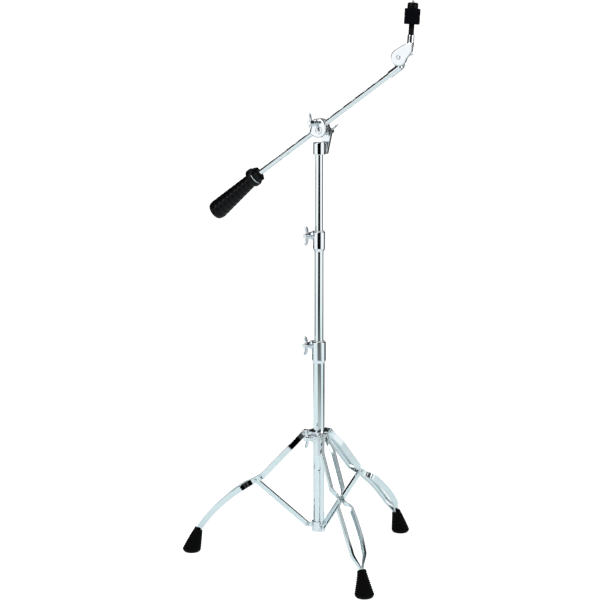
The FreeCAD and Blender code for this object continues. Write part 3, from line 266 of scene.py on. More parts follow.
class ShaderEffects:
    """The effects that several finishes share."""

    def __init__(self) -> None:
        """Builds each group once."""
        scale = GroupSocket("Scale", 200.0)
        amount = GroupSocket("Amount", 0.5)
        self.marks = shader_group(
            "polishing_marks",
            [scale, GroupSocket("Stretch", 1.0)],
            ["Mask", "Height"],
            build_marks,
        )
        self.grain = shader_group("skin_grain", [scale], ["Height", "Tone"], build_grain)
        self.wear = shader_group("edge_wear", [scale, amount], ["Mask"], build_edge_wear)
        self.dust = shader_group("settled_dust", [scale, amount], ["Mask"], build_dust)

    def use(
        self, shader: ShaderTree, group: bpy.types.NodeTree, **values: float
    ) -> bpy.types.Node:
        """Places one effect in a material.

        Args:
            shader: the material's tree.
            group: the effect's group.
            **values: its inputs by name.

        Returns:
            The group node.
        """
        node = shader.tree.nodes.new("ShaderNodeGroup")
        node.node_tree = group
        for name, value in values.items():
            node.inputs[name].default_value = value
        return node


@dataclass(frozen=True)
class Finish:
    """One surface finish: its colours, its gloss and its small-scale detail."""

    name: str
    slot: Slot
    colour: Colour
    tone: Colour
    metallic: float
    roughness: float
    rough_spread: float
    marks_scale: float = 900.0
    marks_stretch: float = 0.06
    marks_depth: float = 0.0
    grain_scale: float = 1500.0
    grain_depth: float = 0.0
    wear: float = 0.0
    worn: Colour = (0.6, 0.6, 0.6)
    dust: float = 0.0
    sheen: float = 0.0
    coat: float = 0.0
    subsurface: float = 0.0
    specular: float = 0.5

    def build(self, effects: ShaderEffects) -> bpy.types.Material:
        """Makes the material.

        Args:
            effects: the shared shader groups.

        Returns:
            The finished material.
        """
        material = bpy.data.materials.new(self.name)
        material.use_nodes = True
        shader = ShaderTree(material.node_tree)
        links = material.node_tree.links
        marks = effects.use(
            shader, effects.marks, Scale=self.marks_scale, Stretch=self.marks_stretch
        )
        grain = effects.use(shader, effects.grain, Scale=self.grain_scale)
        wear = effects.use(shader, effects.wear, Scale=WEAR_SCALE, Amount=self.wear)
        dust = effects.use(shader, effects.dust, Scale=DUST_SCALE, Amount=self.dust)
        toned = self.mix(
            shader, grain.outputs["Tone"], self.rgba(self.colour), self.rgba(self.tone)
        )
        rubbed = self.mix(shader, wear.outputs["Mask"], toned, self.rgba(self.worn))
        dusty = self.mix(shader, dust.outputs["Mask"], rubbed, DUST_COLOUR)
        spread = shader.math("MULTIPLY", marks.outputs["Mask"], self.rough_spread)
        gloss = shader.math("ADD", spread, self.roughness)
        dulled = shader.math("MULTIPLY", dust.outputs["Mask"], DUST_DULLNESS)
        gloss = shader.math("ADD", gloss, dulled)
        height = shader.math(
            "ADD",
            shader.math("MULTIPLY", marks.outputs["Height"], self.marks_depth),
            shader.math("MULTIPLY", grain.outputs["Height"], self.grain_depth),
        )
        bump = shader.add("Bump", Height=height, Strength=1.0, Distance=MM)
        body = shader.add(
            "BsdfPrincipled", Base_Color=dusty, Roughness=gloss, Normal=bump.outputs[0]
        )
        body.inputs["Metallic"].default_value = self.metallic
        body.inputs["Sheen Weight"].default_value = self.sheen
        body.inputs["Coat Weight"].default_value = self.coat
        body.inputs["Subsurface Weight"].default_value = self.subsurface
        body.inputs["Specular IOR Level"].default_value = self.specular
        body.inputs["Subsurface Scale"].default_value = SCATTER_DEPTH
        out = shader.add("OutputMaterial")
        links.new(body.outputs[0], out.inputs["Surface"])
        return material

    @staticmethod
    def rgba(colour: Colour) -> tuple[float, float, float, float]:
        """The colour with full alpha."""
        return (*colour, 1.0)

    @staticmethod
    def mix(
        shader: ShaderTree, share: object, first: object, second: object
    ) -> bpy.types.NodeSocket:
        """Blend of two colours.

        Args:
            shader: the material's tree.
            share: how much of the second colour, as a socket.
            first: a colour or a colour socket.
            second: a colour or a colour socket.

        Returns:
            The blended colour's socket.
        """
        node = shader.tree.nodes.new("ShaderNodeMix")
        node.data_type = "RGBA"
        for key, value in ((0, share), (6, first), (7, second)):
            if isinstance(value, bpy.types.NodeSocket):
                shader.tree.links.new(value, node.inputs[key])
            else:
                node.inputs[key].default_value = value
        return node.outputs[2]


FINISHES = [
    Finish("tube_chrome", Slot.TUBE_CHROME, (0.79, 0.85, 0.87), (0.73, 0.79, 0.81),
           metallic=1.0, roughness=0.015, rough_spread=0.03,
           marks_depth=0.0005, grain_scale=700.0, wear=0.1, worn=(0.62, 0.63, 0.63), dust=0.03),
    Finish("pressed_chrome", Slot.PRESSED_CHROME, (0.75, 0.82, 0.84), (0.66, 0.73, 0.75),
           metallic=1.0, roughness=0.05, rough_spread=0.07,
           marks_scale=700.0, marks_stretch=0.5, marks_depth=0.005, grain_scale=420.0,
           grain_depth=0.006, wear=0.35, worn=(0.58, 0.58, 0.57), dust=0.06),
    Finish("cast_chrome", Slot.CAST_CHROME, (0.82, 0.86, 0.89), (0.72, 0.76, 0.79),
           metallic=1.0, roughness=0.05, rough_spread=0.06,
           marks_scale=500.0, marks_stretch=1.0, marks_depth=0.006, grain_scale=520.0,
           grain_depth=0.012, wear=0.4, worn=(0.55, 0.54, 0.52), dust=0.05),
    Finish("zinc_steel", Slot.ZINC_STEEL, (0.72, 0.74, 0.76), (0.60, 0.62, 0.64),
           metallic=1.0, roughness=0.12, rough_spread=0.10,
           marks_scale=1200.0, marks_stretch=0.2, marks_depth=0.01, grain_scale=900.0,
           grain_depth=0.012, wear=0.5, worn=(0.4, 0.38, 0.36), dust=0.08),
    Finish("foot_rubber", Slot.RUBBER, (0.0015, 0.0015, 0.0015), (0.003, 0.003, 0.003),
           metallic=0.0, roughness=0.5, rough_spread=0.2,
           marks_scale=300.0, marks_stretch=1.0, marks_depth=0.02, grain_scale=1300.0,
           grain_depth=0.04, wear=0.25, worn=(0.008, 0.008, 0.008), dust=0.01, specular=0.06),
    Finish("black_plastic", Slot.PLASTIC, (0.002, 0.002, 0.0025), (0.004, 0.004, 0.005),
           metallic=0.0, roughness=0.24, rough_spread=0.12,
           marks_scale=450.0, marks_stretch=1.0, marks_depth=0.012, grain_scale=1700.0,
           grain_depth=0.03, wear=0.15, worn=(0.008, 0.008, 0.009), dust=0.005, specular=0.12),
    Finish("nylon", Slot.NYLON, (0.86, 0.85, 0.80), (0.74, 0.72, 0.66),
           metallic=0.0, roughness=0.34, rough_spread=0.15,
           marks_scale=600.0, marks_stretch=0.4, marks_depth=0.01, grain_scale=800.0,
           grain_depth=0.02, wear=0.3, worn=(0.6, 0.57, 0.5), dust=0.05, subsurface=0.15),
    Finish("felt", Slot.FELT, (0.0015, 0.0018, 0.0026), (0.004, 0.005, 0.007),
           metallic=0.0, roughness=0.95, rough_spread=0.05,
           marks_scale=1500.0, marks_stretch=1.0, marks_depth=0.20, grain_scale=2600.0,
           grain_depth=0.22, dust=0.01, sheen=0.02, specular=0.04),
    Finish("core_iron", Slot.IRON, (0.10, 0.10, 0.10), (0.16, 0.13, 0.11),
           metallic=1.0, roughness=0.55, rough_spread=0.2, grain_depth=0.08, marks_depth=0.02),
]


# ---- mesh building ---------------------------------------------------------------------------


def lerp(first: float, second: float, share: float) -> float:
    """Value part of the way between two."""
    return first + (second - first) * share


def ease(share: float) -> float:
    """Smooth step between 0 and 1."""
    share = min(max(share, 0.0), 1.0)
    return share * share * (3 - 2 * share)


def bearing(angle: float) -> Vector:
    """Level unit vector at a bearing in degrees."""
    return Vector((math.cos(math.radians(angle)), math.sin(math.radians(angle)), 0.0))


def frame_at(origin: Vector, x_axis: Vector, z_axis: Vector) -> Matrix:
    """Matrix whose local X and Z run along two directions.

    Args:
        origin: the local origin.
        x_axis: direction of local X, made square to Z.
        z_axis: direction of local Z.

    Returns:
        The 4x4 matrix.
    """
    z_axis = z_axis.normalized()
    x_axis = (x_axis - z_axis * x_axis.dot(z_axis)).normalized()
    y_axis = z_axis.cross(x_axis)
    matrix = Matrix((x_axis, y_axis, z_axis)).transposed().to_4x4()
    matrix.translation = origin
    return matrix


def circle(radius: float, matrix: Matrix, segments: int) -> list[Vector]:
    """Points of a circle in a placed plane.

    Args:
        radius: the circle's radius.
        matrix: where its plane lies.
        segments: how many points.

    Returns:
        The points in order.
    """
    turn = math.tau / segments
    return [
        matrix @ Vector((radius * math.cos(i * turn), radius * math.sin(i * turn), 0))
        for i in range(segments)
    ]


def loft(rings: Sequence[Sequence[Vector]], closed: bool = False) -> bpy.types.Mesh:
    """Skin over rings of equal length, with both ends capped unless closed on itself.

    Args:
        rings: rings of points in millimetres.
        closed: True joins the last ring to the first, for a tube wall or a torus.

    Returns:
        A mesh in metres with outward normals.
    """
    count = len(rings[0])
    mesh = bpy.data.meshes.new("loft")
    points = [point * MM for ring in rings for point in ring]
    faces = []
    last = len(rings) if closed else len(rings) - 1
    for row in range(last):
        base, above = row * count, (row + 1) % len(rings) * count
        for i in range(count):
            j = (i + 1) % count
            faces.append((base + i, base + j, above + j, above + i))
    if not closed:
        for ring in (0, len(rings) - 1):
            middle = sum((Vector(p) for p in rings[ring]), Vector()) / count * MM
            points.append(middle)
            for i in range(count):
                start = ring * count
                faces.append((start + i, start + (i + 1) % count, len(points) - 1))
    mesh.from_pydata(points, [], faces)
    return tidied(mesh)


def tidied(mesh: bpy.types.Mesh, merge: float = MERGE_GAP) -> bpy.types.Mesh:
    """Merges doubled points, drops empty faces and turns the normals outwards.

    Args:
        mesh: the mesh to clean in place.
        merge: merging distance in metres.

    Returns:
        The same mesh.
    """
    work = bmesh.new()
    work.from_mesh(mesh)
    bmesh.ops.remove_doubles(work, verts=work.verts, dist=merge)
    bmesh.ops.dissolve_degenerate(work, edges=work.edges, dist=merge)
    bmesh.ops.recalc_face_normals(work, faces=work.faces)
    work.to_mesh(mesh)
    work.free()
    return mesh


def lathe(profile: Sequence[Point], matrix: Matrix, segments: int = 64) -> bpy.types.Mesh:
    """Closed turned wall whose profile runs round its own outline.

    Args:
        profile: (radius, height) points of a closed outline.
        matrix: where the axis lies, in millimetres.
        segments: divisions round the axis.

    Returns:
        The mesh in metres.
    """
    rings = [
        circle(radius, matrix @ Matrix.Translation((0, 0, height)), segments)
        for radius, height in profile
    ]
    return loft(rings, closed=True)


def rounded(
    corners: Sequence[Point], radius: float, steps: int = 4, brace: float = 0.0
) -> list[Point]:
    """Closed outline with its corners rounded.

    Args:
        corners: the outline's corners.
        radius: rounding, limited by the sides beside each corner.
        steps: points at each corner.
        brace: gap to an added point on each flat, which keeps the flat's shading flat.

    Returns:
        The rounded outline.
    """
    outline: list[Point] = []
    total = len(corners)
    for index in range(total):
        here = Vector(corners[index])
        before = Vector(corners[index - 1]) - here
        after = Vector(corners[(index + 1) % total]) - here
        reach = min(radius, before.length * ROUNDING_LIMIT, after.length * ROUNDING_LIMIT)
        first = here + before.normalized() * reach
        last = here + after.normalized() * reach
        corner = [
            first * (1 - t) ** 2 + here * 2 * t * (1 - t) + last * t * t
            for t in (step / (steps - 1) for step in range(steps))
        ]
        if brace:
            beyond = reach + brace
            for place, way in ((0, before), (len(corner) + 1, after)):
                gap = min(beyond, way.length * BRACE_LIMIT)
                corner.insert(place, here + way.normalized() * gap)
        outline += [(point.x, point.y) for point in corner]
    return outline


def smooth_shade(mesh: bpy.types.Mesh, angle: float = SHARP_ANGLE) -> None:
    """Smooth shading that keeps edges sharper than an angle.

    Args:
        mesh: the mesh to shade.
        angle: limit in degrees.
    """
    mesh.shade_smooth()
    mesh.set_sharp_from_angle(angle=math.radians(angle))


def joined(meshes: Sequence[bpy.types.Mesh]) -> bpy.types.Mesh:
    """One mesh holding several.

    Args:
        meshes: the meshes to gather.

    Returns:
        A new mesh.
    """
    work = bmesh.new()
    for mesh in meshes:
        work.from_mesh(mesh)
    whole = bpy.data.meshes.new("joined")
    work.to_mesh(whole)
    work.free()
    return whole


def baked(item: bpy.types.Object) -> None:
    """Turns an object's modifiers into its mesh and removes them.

    Args:
        item: the object, linked to the scene.
    """
    graph = bpy.context.evaluated_depsgraph_get()
    mesh = bpy.data.meshes.new_from_object(item.evaluated_get(graph))
    item.modifiers.clear()
    item.data = mesh


class GrowthTree:
    """A Geometry Nodes tree made in the script, with named inputs."""

    def __init__(self, name: str) -> None:
        """Starts an empty tree.

        Args:
            name: the tree's name.
        """
        self.tree = bpy.data.node_groups.new(name, "GeometryNodeTree")
        for way in ("INPUT", "OUTPUT"):
            self.tree.interface.new_socket(
                "Geometry", in_out=way, socket_type="NodeSocketGeometry"
            )
        self.entry = self.tree.nodes.new("NodeGroupInput")
        self.leave = self.tree.nodes.new("NodeGroupOutput")
        self.names: dict[str, str] = {}

    def number(self, name: str, whole: bool = False) -> bpy.types.NodeSocket:
        """Adds a named input.

        Args:
            name: the input's name.
            whole: True for an integer.

        Returns:
            The input's socket inside the tree.
        """
        kind = "NodeSocketInt" if whole else "NodeSocketFloat"
        socket = self.tree.interface.new_socket(name, in_out="INPUT", socket_type=kind)
        self.names[name] = socket.identifier
        return self.entry.outputs[name]

    def material(self) -> bpy.types.NodeSocket:
        """Adds the material input.

        Returns:
            The input's socket inside the tree.
        """
        socket = self.tree.interface.new_socket(
            "Material", in_out="INPUT", socket_type="NodeSocketMaterial"
        )
        self.names["Material"] = socket.identifier
        return self.entry.outputs["Material"]

    def add(self, kind: str, **inputs: object) -> bpy.types.Node:
        """Adds a node; an input is a socket to link or a value, and other names are settings.

        Args:
            kind: the node's full type name.
            **inputs: sockets by name with underscores for spaces, or node settings.

        Returns:
            The new node.
        """
        node = self.tree.nodes.new(kind)
        for name, value in inputs.items():
            if name[0].islower():
                setattr(node, name, value)
                continue
            numbered = name[0] == "N" and name[1:].isdigit()
            key = int(name[1:]) if numbered else name.replace("_", " ")
            if isinstance(value, bpy.types.NodeSocket):
                self.tree.links.new(value, node.inputs[key])
            else:
                node.inputs[key].default_value = value
        return node

    def close(self, geometry: bpy.types.NodeSocket) -> None:
        """Ends the tree with real geometry in the given material.

        Args:
            geometry: what the tree has made.
        """
        real = self.add("GeometryNodeRealizeInstances", Geometry=geometry).outputs[0]
        shaded = self.add("GeometryNodeSetShadeSmooth", Geometry=real).outputs[0]
        done = self.add("GeometryNodeSetMaterial", Geometry=shaded, Material=self.material())
        self.tree.links.new(done.outputs[0], self.leave.inputs[0])

    def grow(
        self, mesh: bpy.types.Mesh | None, material: bpy.types.Material, **values: float
    ) -> bpy.types.Mesh:
        """Runs the tree on a mesh, or on nothing, and returns plain geometry.

        Args:
            mesh: the starting mesh, or None.
            material: the finish of what is made.
            **values: the tree's inputs, with underscores for spaces.

        Returns:
            The resulting mesh.
        """
        holder = bpy.data.objects.new("grower", mesh or bpy.data.meshes.new("seed"))
        bpy.context.collection.objects.link(holder)
        modifier = holder.modifiers.new("grow", "NODES")
        modifier.node_group = self.tree
        for name, value in values.items():
            modifier[self.names[name.replace("_", " ")]] = value
        modifier[self.names["Material"]] = material
        graph = bpy.context.evaluated_depsgraph_get()
        result = bpy.data.meshes.new_from_object(holder.evaluated_get(graph))
        holder.modifiers.clear()
        bpy.data.objects.remove(holder)
        return result


def ring_tree() -> GrowthTree:
    """Upright bars standing round a circle.

    Returns:
        The finished tree.
    """
    tree = GrowthTree("bars_round_axis")
    count = tree.number("Count", whole=True)
    radius = tree.number("Radius")
    sides = tree.number("Sides", whole=True)
    size = tree.number("Bar radius")
    length = tree.number("Length")
    flat = tree.number("Flatness")
    points = tree.add("GeometryNodeMeshCircle", Vertices=count, Radius=radius).outputs[0]
    bar = tree.add(
        "GeometryNodeMeshCylinder", Vertices=sides, Radius=size, Depth=length
    ).outputs[0]
    shape = tree.add("ShaderNodeCombineXYZ", X=flat, Y=1.0, Z=1.0).outputs[0]
    flattened = tree.add("GeometryNodeTransform", Geometry=bar, Scale=shape).outputs[0]
    place = tree.add("GeometryNodeInputPosition").outputs[0]
    facing = tree.add("FunctionNodeAlignRotationToVector", axis="X", Vector=place).outputs[0]
    copies = tree.add(
        "GeometryNodeInstanceOnPoints", Points=points, Instance=flattened, Rotation=facing
    )
    tree.close(copies.outputs[0])
    return tree


def row_tree() -> GrowthTree:
    """Small discs in a straight row along X: dark discs of painted shade for the boom's recesses.

    Returns:
        The finished tree.
    """
    tree = GrowthTree("discs_in_row")
    count = tree.number("Count", whole=True)
    pitch = tree.number("Pitch")
    size = tree.number("Disc radius")
    depth = tree.number("Depth")
    step = tree.add("ShaderNodeCombineXYZ", X=pitch).outputs[0]
    points = tree.add("GeometryNodeMeshLine", Count=count, Offset=step).outputs[0]
    disc = tree.add(
        "GeometryNodeMeshCylinder", Vertices=20, Radius=size, Depth=depth
    ).outputs[0]
    copies = tree.add("GeometryNodeInstanceOnPoints", Points=points, Instance=disc).outputs[0]
    tree.close(copies)
    return tree


def thread_tree() -> GrowthTree:
    """A screw thread: a sharp ridge wound round Z from z = 0.

    Returns:
        The finished tree.
    """
    tree = GrowthTree("screw_thread")
    turns = tree.number("Turns")
    radius = tree.number("Radius")
    length = tree.number("Length")
    depth = tree.number("Ridge")
    spiral = tree.add(
        "GeometryNodeCurveSpiral", Resolution=28, Rotations=turns,
        Start_Radius=radius, End_Radius=radius, Height=length,
    ).outputs[0]
    ridge = tree.add("GeometryNodeCurvePrimitiveCircle", Resolution=4, Radius=depth).outputs[0]
    wall = tree.add(
        "GeometryNodeCurveToMesh", Curve=spiral, Profile_Curve=ridge, Fill_Caps=True
    )
    tree.close(wall.outputs[0])
    return tree


def fuzz_tree() -> GrowthTree:
    """Short fibres standing out of a surface, kept with the surface itself.

    Returns:
        The finished tree.
    """
    tree = GrowthTree("felt_fibres")
    density = tree.number("Density")
    thick = tree.number("Fibre radius")
    length = tree.number("Length")
    skin = tree.entry.outputs[0]
    spots = tree.add(
        "GeometryNodeDistributePointsOnFaces", Mesh=skin, Density=density, Seed=11
    )
    fibre = tree.add(
        "GeometryNodeMeshCone", Vertices=3, Radius_Top=0.0, Radius_Bottom=thick, Depth=length
    ).outputs[0]
    lean = tree.add(
        "FunctionNodeRandomValue", data_type="FLOAT_VECTOR",
        N0=(-1.2, -1.2, -3.1), N1=(1.2, 1.2, 3.1),
    )
    lean.inputs["Seed"].default_value = 5
    euler = tree.add("FunctionNodeEulerToRotation", Euler=lean.outputs[0]).outputs[0]
    turned_by = tree.add(
        "FunctionNodeRotateRotation", Rotation=spots.outputs["Rotation"], Rotate_By=euler
    )
    turned_by.rotation_space = "LOCAL"
    size = tree.add("FunctionNodeRandomValue", N2=0.4, N3=1.3)
    size.inputs["Seed"].default_value = 8
    hairs = tree.add(
        "GeometryNodeInstanceOnPoints", Points=spots.outputs["Points"], Instance=fibre,
        Rotation=turned_by.outputs[0], Scale=size.outputs[1],
    ).outputs[0]
    both = tree.tree.nodes.new("GeometryNodeJoinGeometry")
    tree.tree.links.new(skin, both.inputs[0])
    tree.tree.links.new(hairs, both.inputs[0])
    tree.close(both.outputs[0])
    return tree


@dataclass(frozen=True)
class Casting:
    """A node whose edges are softened: its finish, its body and how strongly."""

    node: str
    slot: Slot
    body: str
    grid: float = 0.5
    passes: int = 4


class Workshop:
    """Holds the finishes and trees, and turns meshes into pieces of the stand."""

    def __init__(self) -> None:
        """Builds the shared finishes and growth trees."""
        effects = ShaderEffects()
        self.finishes = {finish.slot: finish.build(effects) for finish in FINISHES}
        self.ring = ring_tree()
        self.row = row_tree()
        self.thread = thread_tree()
        self.fuzz = fuzz_tree()
        self.made: list[str] = []

    def piece(
        self,
        name: str,
        mesh: bpy.types.Mesh,
        slot: Slot,
        body: str,
        nodes: Sequence[str] = (),
        angle: float = SHARP_ANGLE,
    ) -> bpy.types.Object:
        """Makes one piece from a mesh in metres and puts it on a body.

        Args:
            name: the piece's name.
            mesh: its mesh.
            slot: its finish.
            body: the body it moves with.
            nodes: nodes of the frame that it stands for.
            angle: edges sharper than this stay sharp, in degrees.

        Returns:
            The piece.
        """
        mesh.name = name
        smooth_shade(mesh, angle)
        mesh.materials.clear()
        mesh.materials.append(self.finishes[slot])
        item = bpy.data.objects.new(name, mesh)
        bpy.context.collection.objects.link(item)
        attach(item, body)
        if nodes:
            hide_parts(*nodes)
        self.made.append(name)
        LOG.info("%s on %s: %d faces", name, body, len(mesh.polygons))
        return item

    def merged(self, node: str) -> bpy.types.Mesh:
        """Copy of a node's mesh with its loose triangles merged."""
        return tidied(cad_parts[node].data.copy(), NODE_MERGE_GAP)

    def turned_copy(self, node: str, slot: Slot, body: str) -> bpy.types.Object:
        """A turned or plain piece, shaded smooth between its sharp edges.

        Args:
            node: the node of the frame to copy.
            slot: its finish.
            body: the body it moves with.

        Returns:
            The piece.
        """
        return self.piece(node + "_skin", self.merged(node), slot, body, [node])

    def cast_copy(self, casting: Casting) -> bpy.types.Object:
        """A cast, pressed or moulded piece, with every edge softened.

        Args:
            casting: the node and how it is softened.

        Returns:
            The piece.
        """
        item = bpy.data.objects.new("casting", self.merged(casting.node))
        bpy.context.collection.objects.link(item)
        remesh = item.modifiers.new("grid", "REMESH")
        remesh.mode = "VOXEL"
        remesh.voxel_size = casting.grid * MM
        smooth = item.modifiers.new("soften", "SMOOTH")
        smooth.factor = 0.5
        smooth.iterations = casting.passes
        baked(item)
        mesh = item.data
        bpy.data.objects.remove(item)
        name, nodes = casting.node + "_skin", [casting.node]
        return self.piece(name, mesh, casting.slot, casting.body, nodes, CAST_SHARP_ANGLE)

    def dress(self, node: str, slot: Slot) -> None:
        """Gives a carried-over node its finish.

        Args:
            node: the node of the frame.
            slot: its finish.
        """
        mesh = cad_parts[node].data
        mesh.materials.clear()
        mesh.materials.append(self.finishes[slot])
        LOG.info("%s keeps its own shape", node)

    def screw_end(
        self, name: str, body: str, place: Matrix, radius: float, length: float, slot: Slot
    ) -> None:
        """Thread on the free end of a bolt.

        Args:
            name: the piece's name.
            body: the body it moves with.
            place: matrix whose Z runs along the thread from its start, in millimetres.
            radius: the bolt's radius in millimetres.
            length: the threaded length in millimetres.
            slot: its finish.
        """
        pitch = radius * THREAD_PITCH
        mesh = self.thread.grow(
            None, self.finishes[slot], Turns=length / pitch, Radius=radius * THREAD_ROOT * MM,
            Length=length * MM, Ridge=pitch * THREAD_RIDGE * MM,
        )
        metres = place.copy()
        metres.translation = place.translation * MM
        mesh.transform(metres)
        self.piece(name, tidied(mesh), slot, body, angle=THREAD_SHARP_ANGLE)


# ---- tripod ----------------------------------------------------------------------------------


@dataclass
class LegLine:
    """Centre line of a leg, outwards and down from its pivot, in millimetres and degrees."""

    pivot_radius: float = 36.0
    thigh: float = 162.4
    thigh_slope: float = 47.07
    knee_slope: float = 29.6
    bend_to_knee: float = 18.9
    knee_to_shin: float = 34.4
    shin_slope: float = 33.5
    end_slope: float = 56.0
    shin_radius: float = 435.0
    tail: float = 18.0
    bend_blend: float = 9.0
    mouth_height: float = 62.0
    step: float = 0.5
    samples: list[tuple[Vector, float]] = field(default_factory=list)
    knee: float = field(init=False)
    shin: float = field(init=False)
    arc: float = field(init=False)
    end: float = field(init=False)
    pivot_height: float = field(init=False)

    def __post_init__(self) -> None:
        """Walks the line once and sets the pivot's height from the foot up."""
        self.knee = self.thigh + self.bend_to_knee
        self.shin = self.knee + self.knee_to_shin
        self.arc = self.shin_radius * math.radians(self.end_slope - self.shin_slope)
        self.end = self.shin + self.arc
        point = Vector((0.0, 0.0))
        count = int((self.end + self.tail) / self.step) + 2
        for index in range(count):
            slope = self.slope((index + 0.5) * self.step)
            self.samples.append((point.copy(), self.slope(index * self.step)))
            angle = math.radians(slope)
            point += Vector((math.cos(angle), -math.sin(angle))) * self.step
        self.pivot_height = self.mouth_height - self.at(self.end)[0].y

    def raw_slope(self, distance: float) -> float:
        """Slope below horizontal before its bends are blended.

        Args:
            distance: length along the line from its pivot.

        Returns:
            The slope in degrees.
        """
        if distance < self.thigh:
            return self.thigh_slope
        if distance < self.shin:
            return self.knee_slope
        share = min((distance - self.shin) / self.arc, 1.0)
        return lerp(self.shin_slope, self.end_slope, share)

    def slope(self, distance: float) -> float:
        """Slope below horizontal with its bends blended."""
        near = [self.raw_slope(distance + o * self.bend_blend) for o in (-1.0, -0.5, 0.0, 0.5, 1.0)]
        return sum(near) / len(near)

    def at(self, distance: float) -> tuple[Vector, float]:
        """Point and slope at a distance from the pivot.

        Args:
            distance: length along the line; below 0 it runs straight on.

        Returns:
            The (out, up) point from the pivot, and the slope in degrees.
        """
        if distance < 0:
            angle = math.radians(self.thigh_slope)
            return Vector((math.cos(angle), -math.sin(angle))) * distance, self.thigh_slope
        place = min(distance / self.step, len(self.samples) - 2)
        index = int(place)
        first, second = self.samples[index], self.samples[index + 1]
        share = place - index
        return first[0].lerp(second[0], share), lerp(first[1], second[1], share)


class Station(NamedTuple):
    """Section of a leg's strip at a distance from its pivot, in millimetres."""

    distance: float
    half_gap: float
    depth: float
    width_share: float


@dataclass
class Tripod:
    """Legs, stays, rubber feet and the two collars."""

    first_bearing: float = 168.4
    line: LegLine = field(default_factory=LegLine)
    strip_width: float = 15.0
    gauge: float = 1.8
    depth: float = 7.0
    top_gap: float = 4.7
    thigh_gap: float = 11.3
    knee_gap: float = 4.0
    shin_gap: float = 14.5
    foot_gap: float = 1.2
    knee_depth: float = 2.2
    edge_roll: float = 0.8
    edge_points: int = 4
    edge_brace: float = 0.3
    end_places: tuple[float, ...] = (-7.5, -7.2, -6.6, -5.6, -4.2, -2.4)
    strip_steps: int = 96
    foot_lean: float = 19.0
    mouth_r: float = 11.0
    sole_r: float = 23.5
    sole_edge: float = 10.0
    flat_r: float = 14.0
    lip: tuple[Point, ...] = ((3.4, 3.0), (3.0, 0.8), (2.0, 0.0), (0.7, 0.1), (0.0, 0.9))
    lip_tilt: float = 1.5
    ribs: int = 11
    rib: float = 2.0
    rib_steps: int = 12
    rib_sharpness: float = 1.6
    rib_onset: float = 9.0
    sole_shares: tuple[float, ...] = (0.85, 0.65, 0.45, 0.25, 0.1, 0.03)
    sole_fullness: float = 0.9
    segments: int = 72

    def sections(self) -> list[Station]:
        """The strip's main stations, from its rounded top to its end in the foot.

        Returns:
            The stations in order of distance.
        """
        line, half = self.line, self.strip_width / 2
        shallow = self.knee_depth * 1.5
        top = self.depth * 0.7
        return [
            Station(-half, self.top_gap, top, 0.3),
            Station(-half * 0.85, self.top_gap, top, 0.62),
            Station(-half * 0.6, self.top_gap, top, 0.86),
            Station(-half * 0.3, self.top_gap, top, 0.97),
            Station(0.0, self.top_gap, top, 1.0),
            Station(line.thigh * 0.12, self.top_gap, self.depth * 0.8, 1.0),
            Station(line.thigh * 0.30, self.thigh_gap, self.depth, 1.0),
            Station(line.thigh * 0.93, self.thigh_gap, self.depth, 1.0),
            Station(line.knee - line.bend_to_knee * 0.5, self.knee_gap, self.knee_depth, 1.0),
            Station(line.knee + line.knee_to_shin * 0.35, self.knee_gap, self.knee_depth, 1.0),
            Station(line.shin + line.arc * 0.02, self.shin_gap * 0.92, self.depth, 1.0),
            Station(line.shin + line.arc * 0.25, self.shin_gap * 0.98, self.depth, 1.0),
            Station(line.shin + line.arc * 0.52, self.shin_gap, self.depth, 1.0),
            Station(line.shin + line.arc * 0.76, self.shin_gap * 0.86, self.depth, 1.0),
            Station(line.end, self.foot_gap, shallow, 1.0),
            Station(line.end + line.tail, self.foot_gap, shallow, 1.0),
        ]

    def station(self, distance: float) -> Station:
        """Section at any distance, eased between the main stations.

        Args:
            distance: length along the leg's line from its pivot.

        Returns:
            The section there.
        """
        marks = self.sections()
        for first, second in zip(marks, marks[1:]):
            if distance <= second.distance:
                share = (distance - first.distance) / (second.distance - first.distance)
                soft = lerp(share, ease(share), 0.75)
                return Station(distance, *(lerp(a, b, soft) for a, b in zip(first[1:], second[1:])))
        return marks[-1]

    def strip(self, side: int, turn: Matrix) -> bpy.types.Mesh:
        """One pressed strip with rolled edges, its flat face outward.

        Args:
            side: -1 or 1, across the leg's plane.
            turn: rotation to the leg's bearing.

        Returns:
            The strip's mesh.
        """
        line = self.line
        start = -self.strip_width / 2
        stop = line.end + line.tail
        count = self.strip_steps
        places = [*self.end_places, *(stop * index / count for index in range(count + 1))]
        rings = []
        for distance in places:
            _, half_gap, depth, share = self.station(max(distance, start))
            point, slope = line.at(distance)
            angle = math.radians(slope)
            across = Vector((math.sin(angle), 0, math.cos(angle)))
            centre = Vector((line.pivot_radius + point.x, 0, line.pivot_height + point.y))
            half = self.strip_width / 2 * share
            web = min(self.gauge, depth * 0.8)
            inner = half - self.gauge
            corners = [
                (-half, 0.0), (half, 0.0), (half, depth), (inner, depth),
                (inner, web), (-inner, web), (-inner, depth), (-half, depth),
            ]
            outline = rounded(corners, self.edge_roll, self.edge_points, self.edge_brace)
            rings.append([
                turn @ (centre + across * a + Vector((0, side * (half_gap + depth - b), 0)))
                for a, b in outline
            ])
        return loft(rings)

    def foot(self, turn: Matrix) -> bpy.types.Mesh:
        """Ribbed rubber foot with a rolled lip and a shallow mouth.

        Args:
            turn: rotation to the leg's bearing.

        Returns:
            The foot's mesh.
        """
        mouth_point, _ = self.line.at(self.line.end)
        mouth = Vector((self.line.pivot_radius + mouth_point.x, 0, self.line.mouth_height))
        sole = mouth + Vector((self.foot_lean, 0, -self.line.mouth_height))
        low = sole + Vector((0, 0, self.sole_edge))
        lean = math.degrees(math.atan2(self.foot_lean, self.line.mouth_height - self.sole_edge))
        rings = []

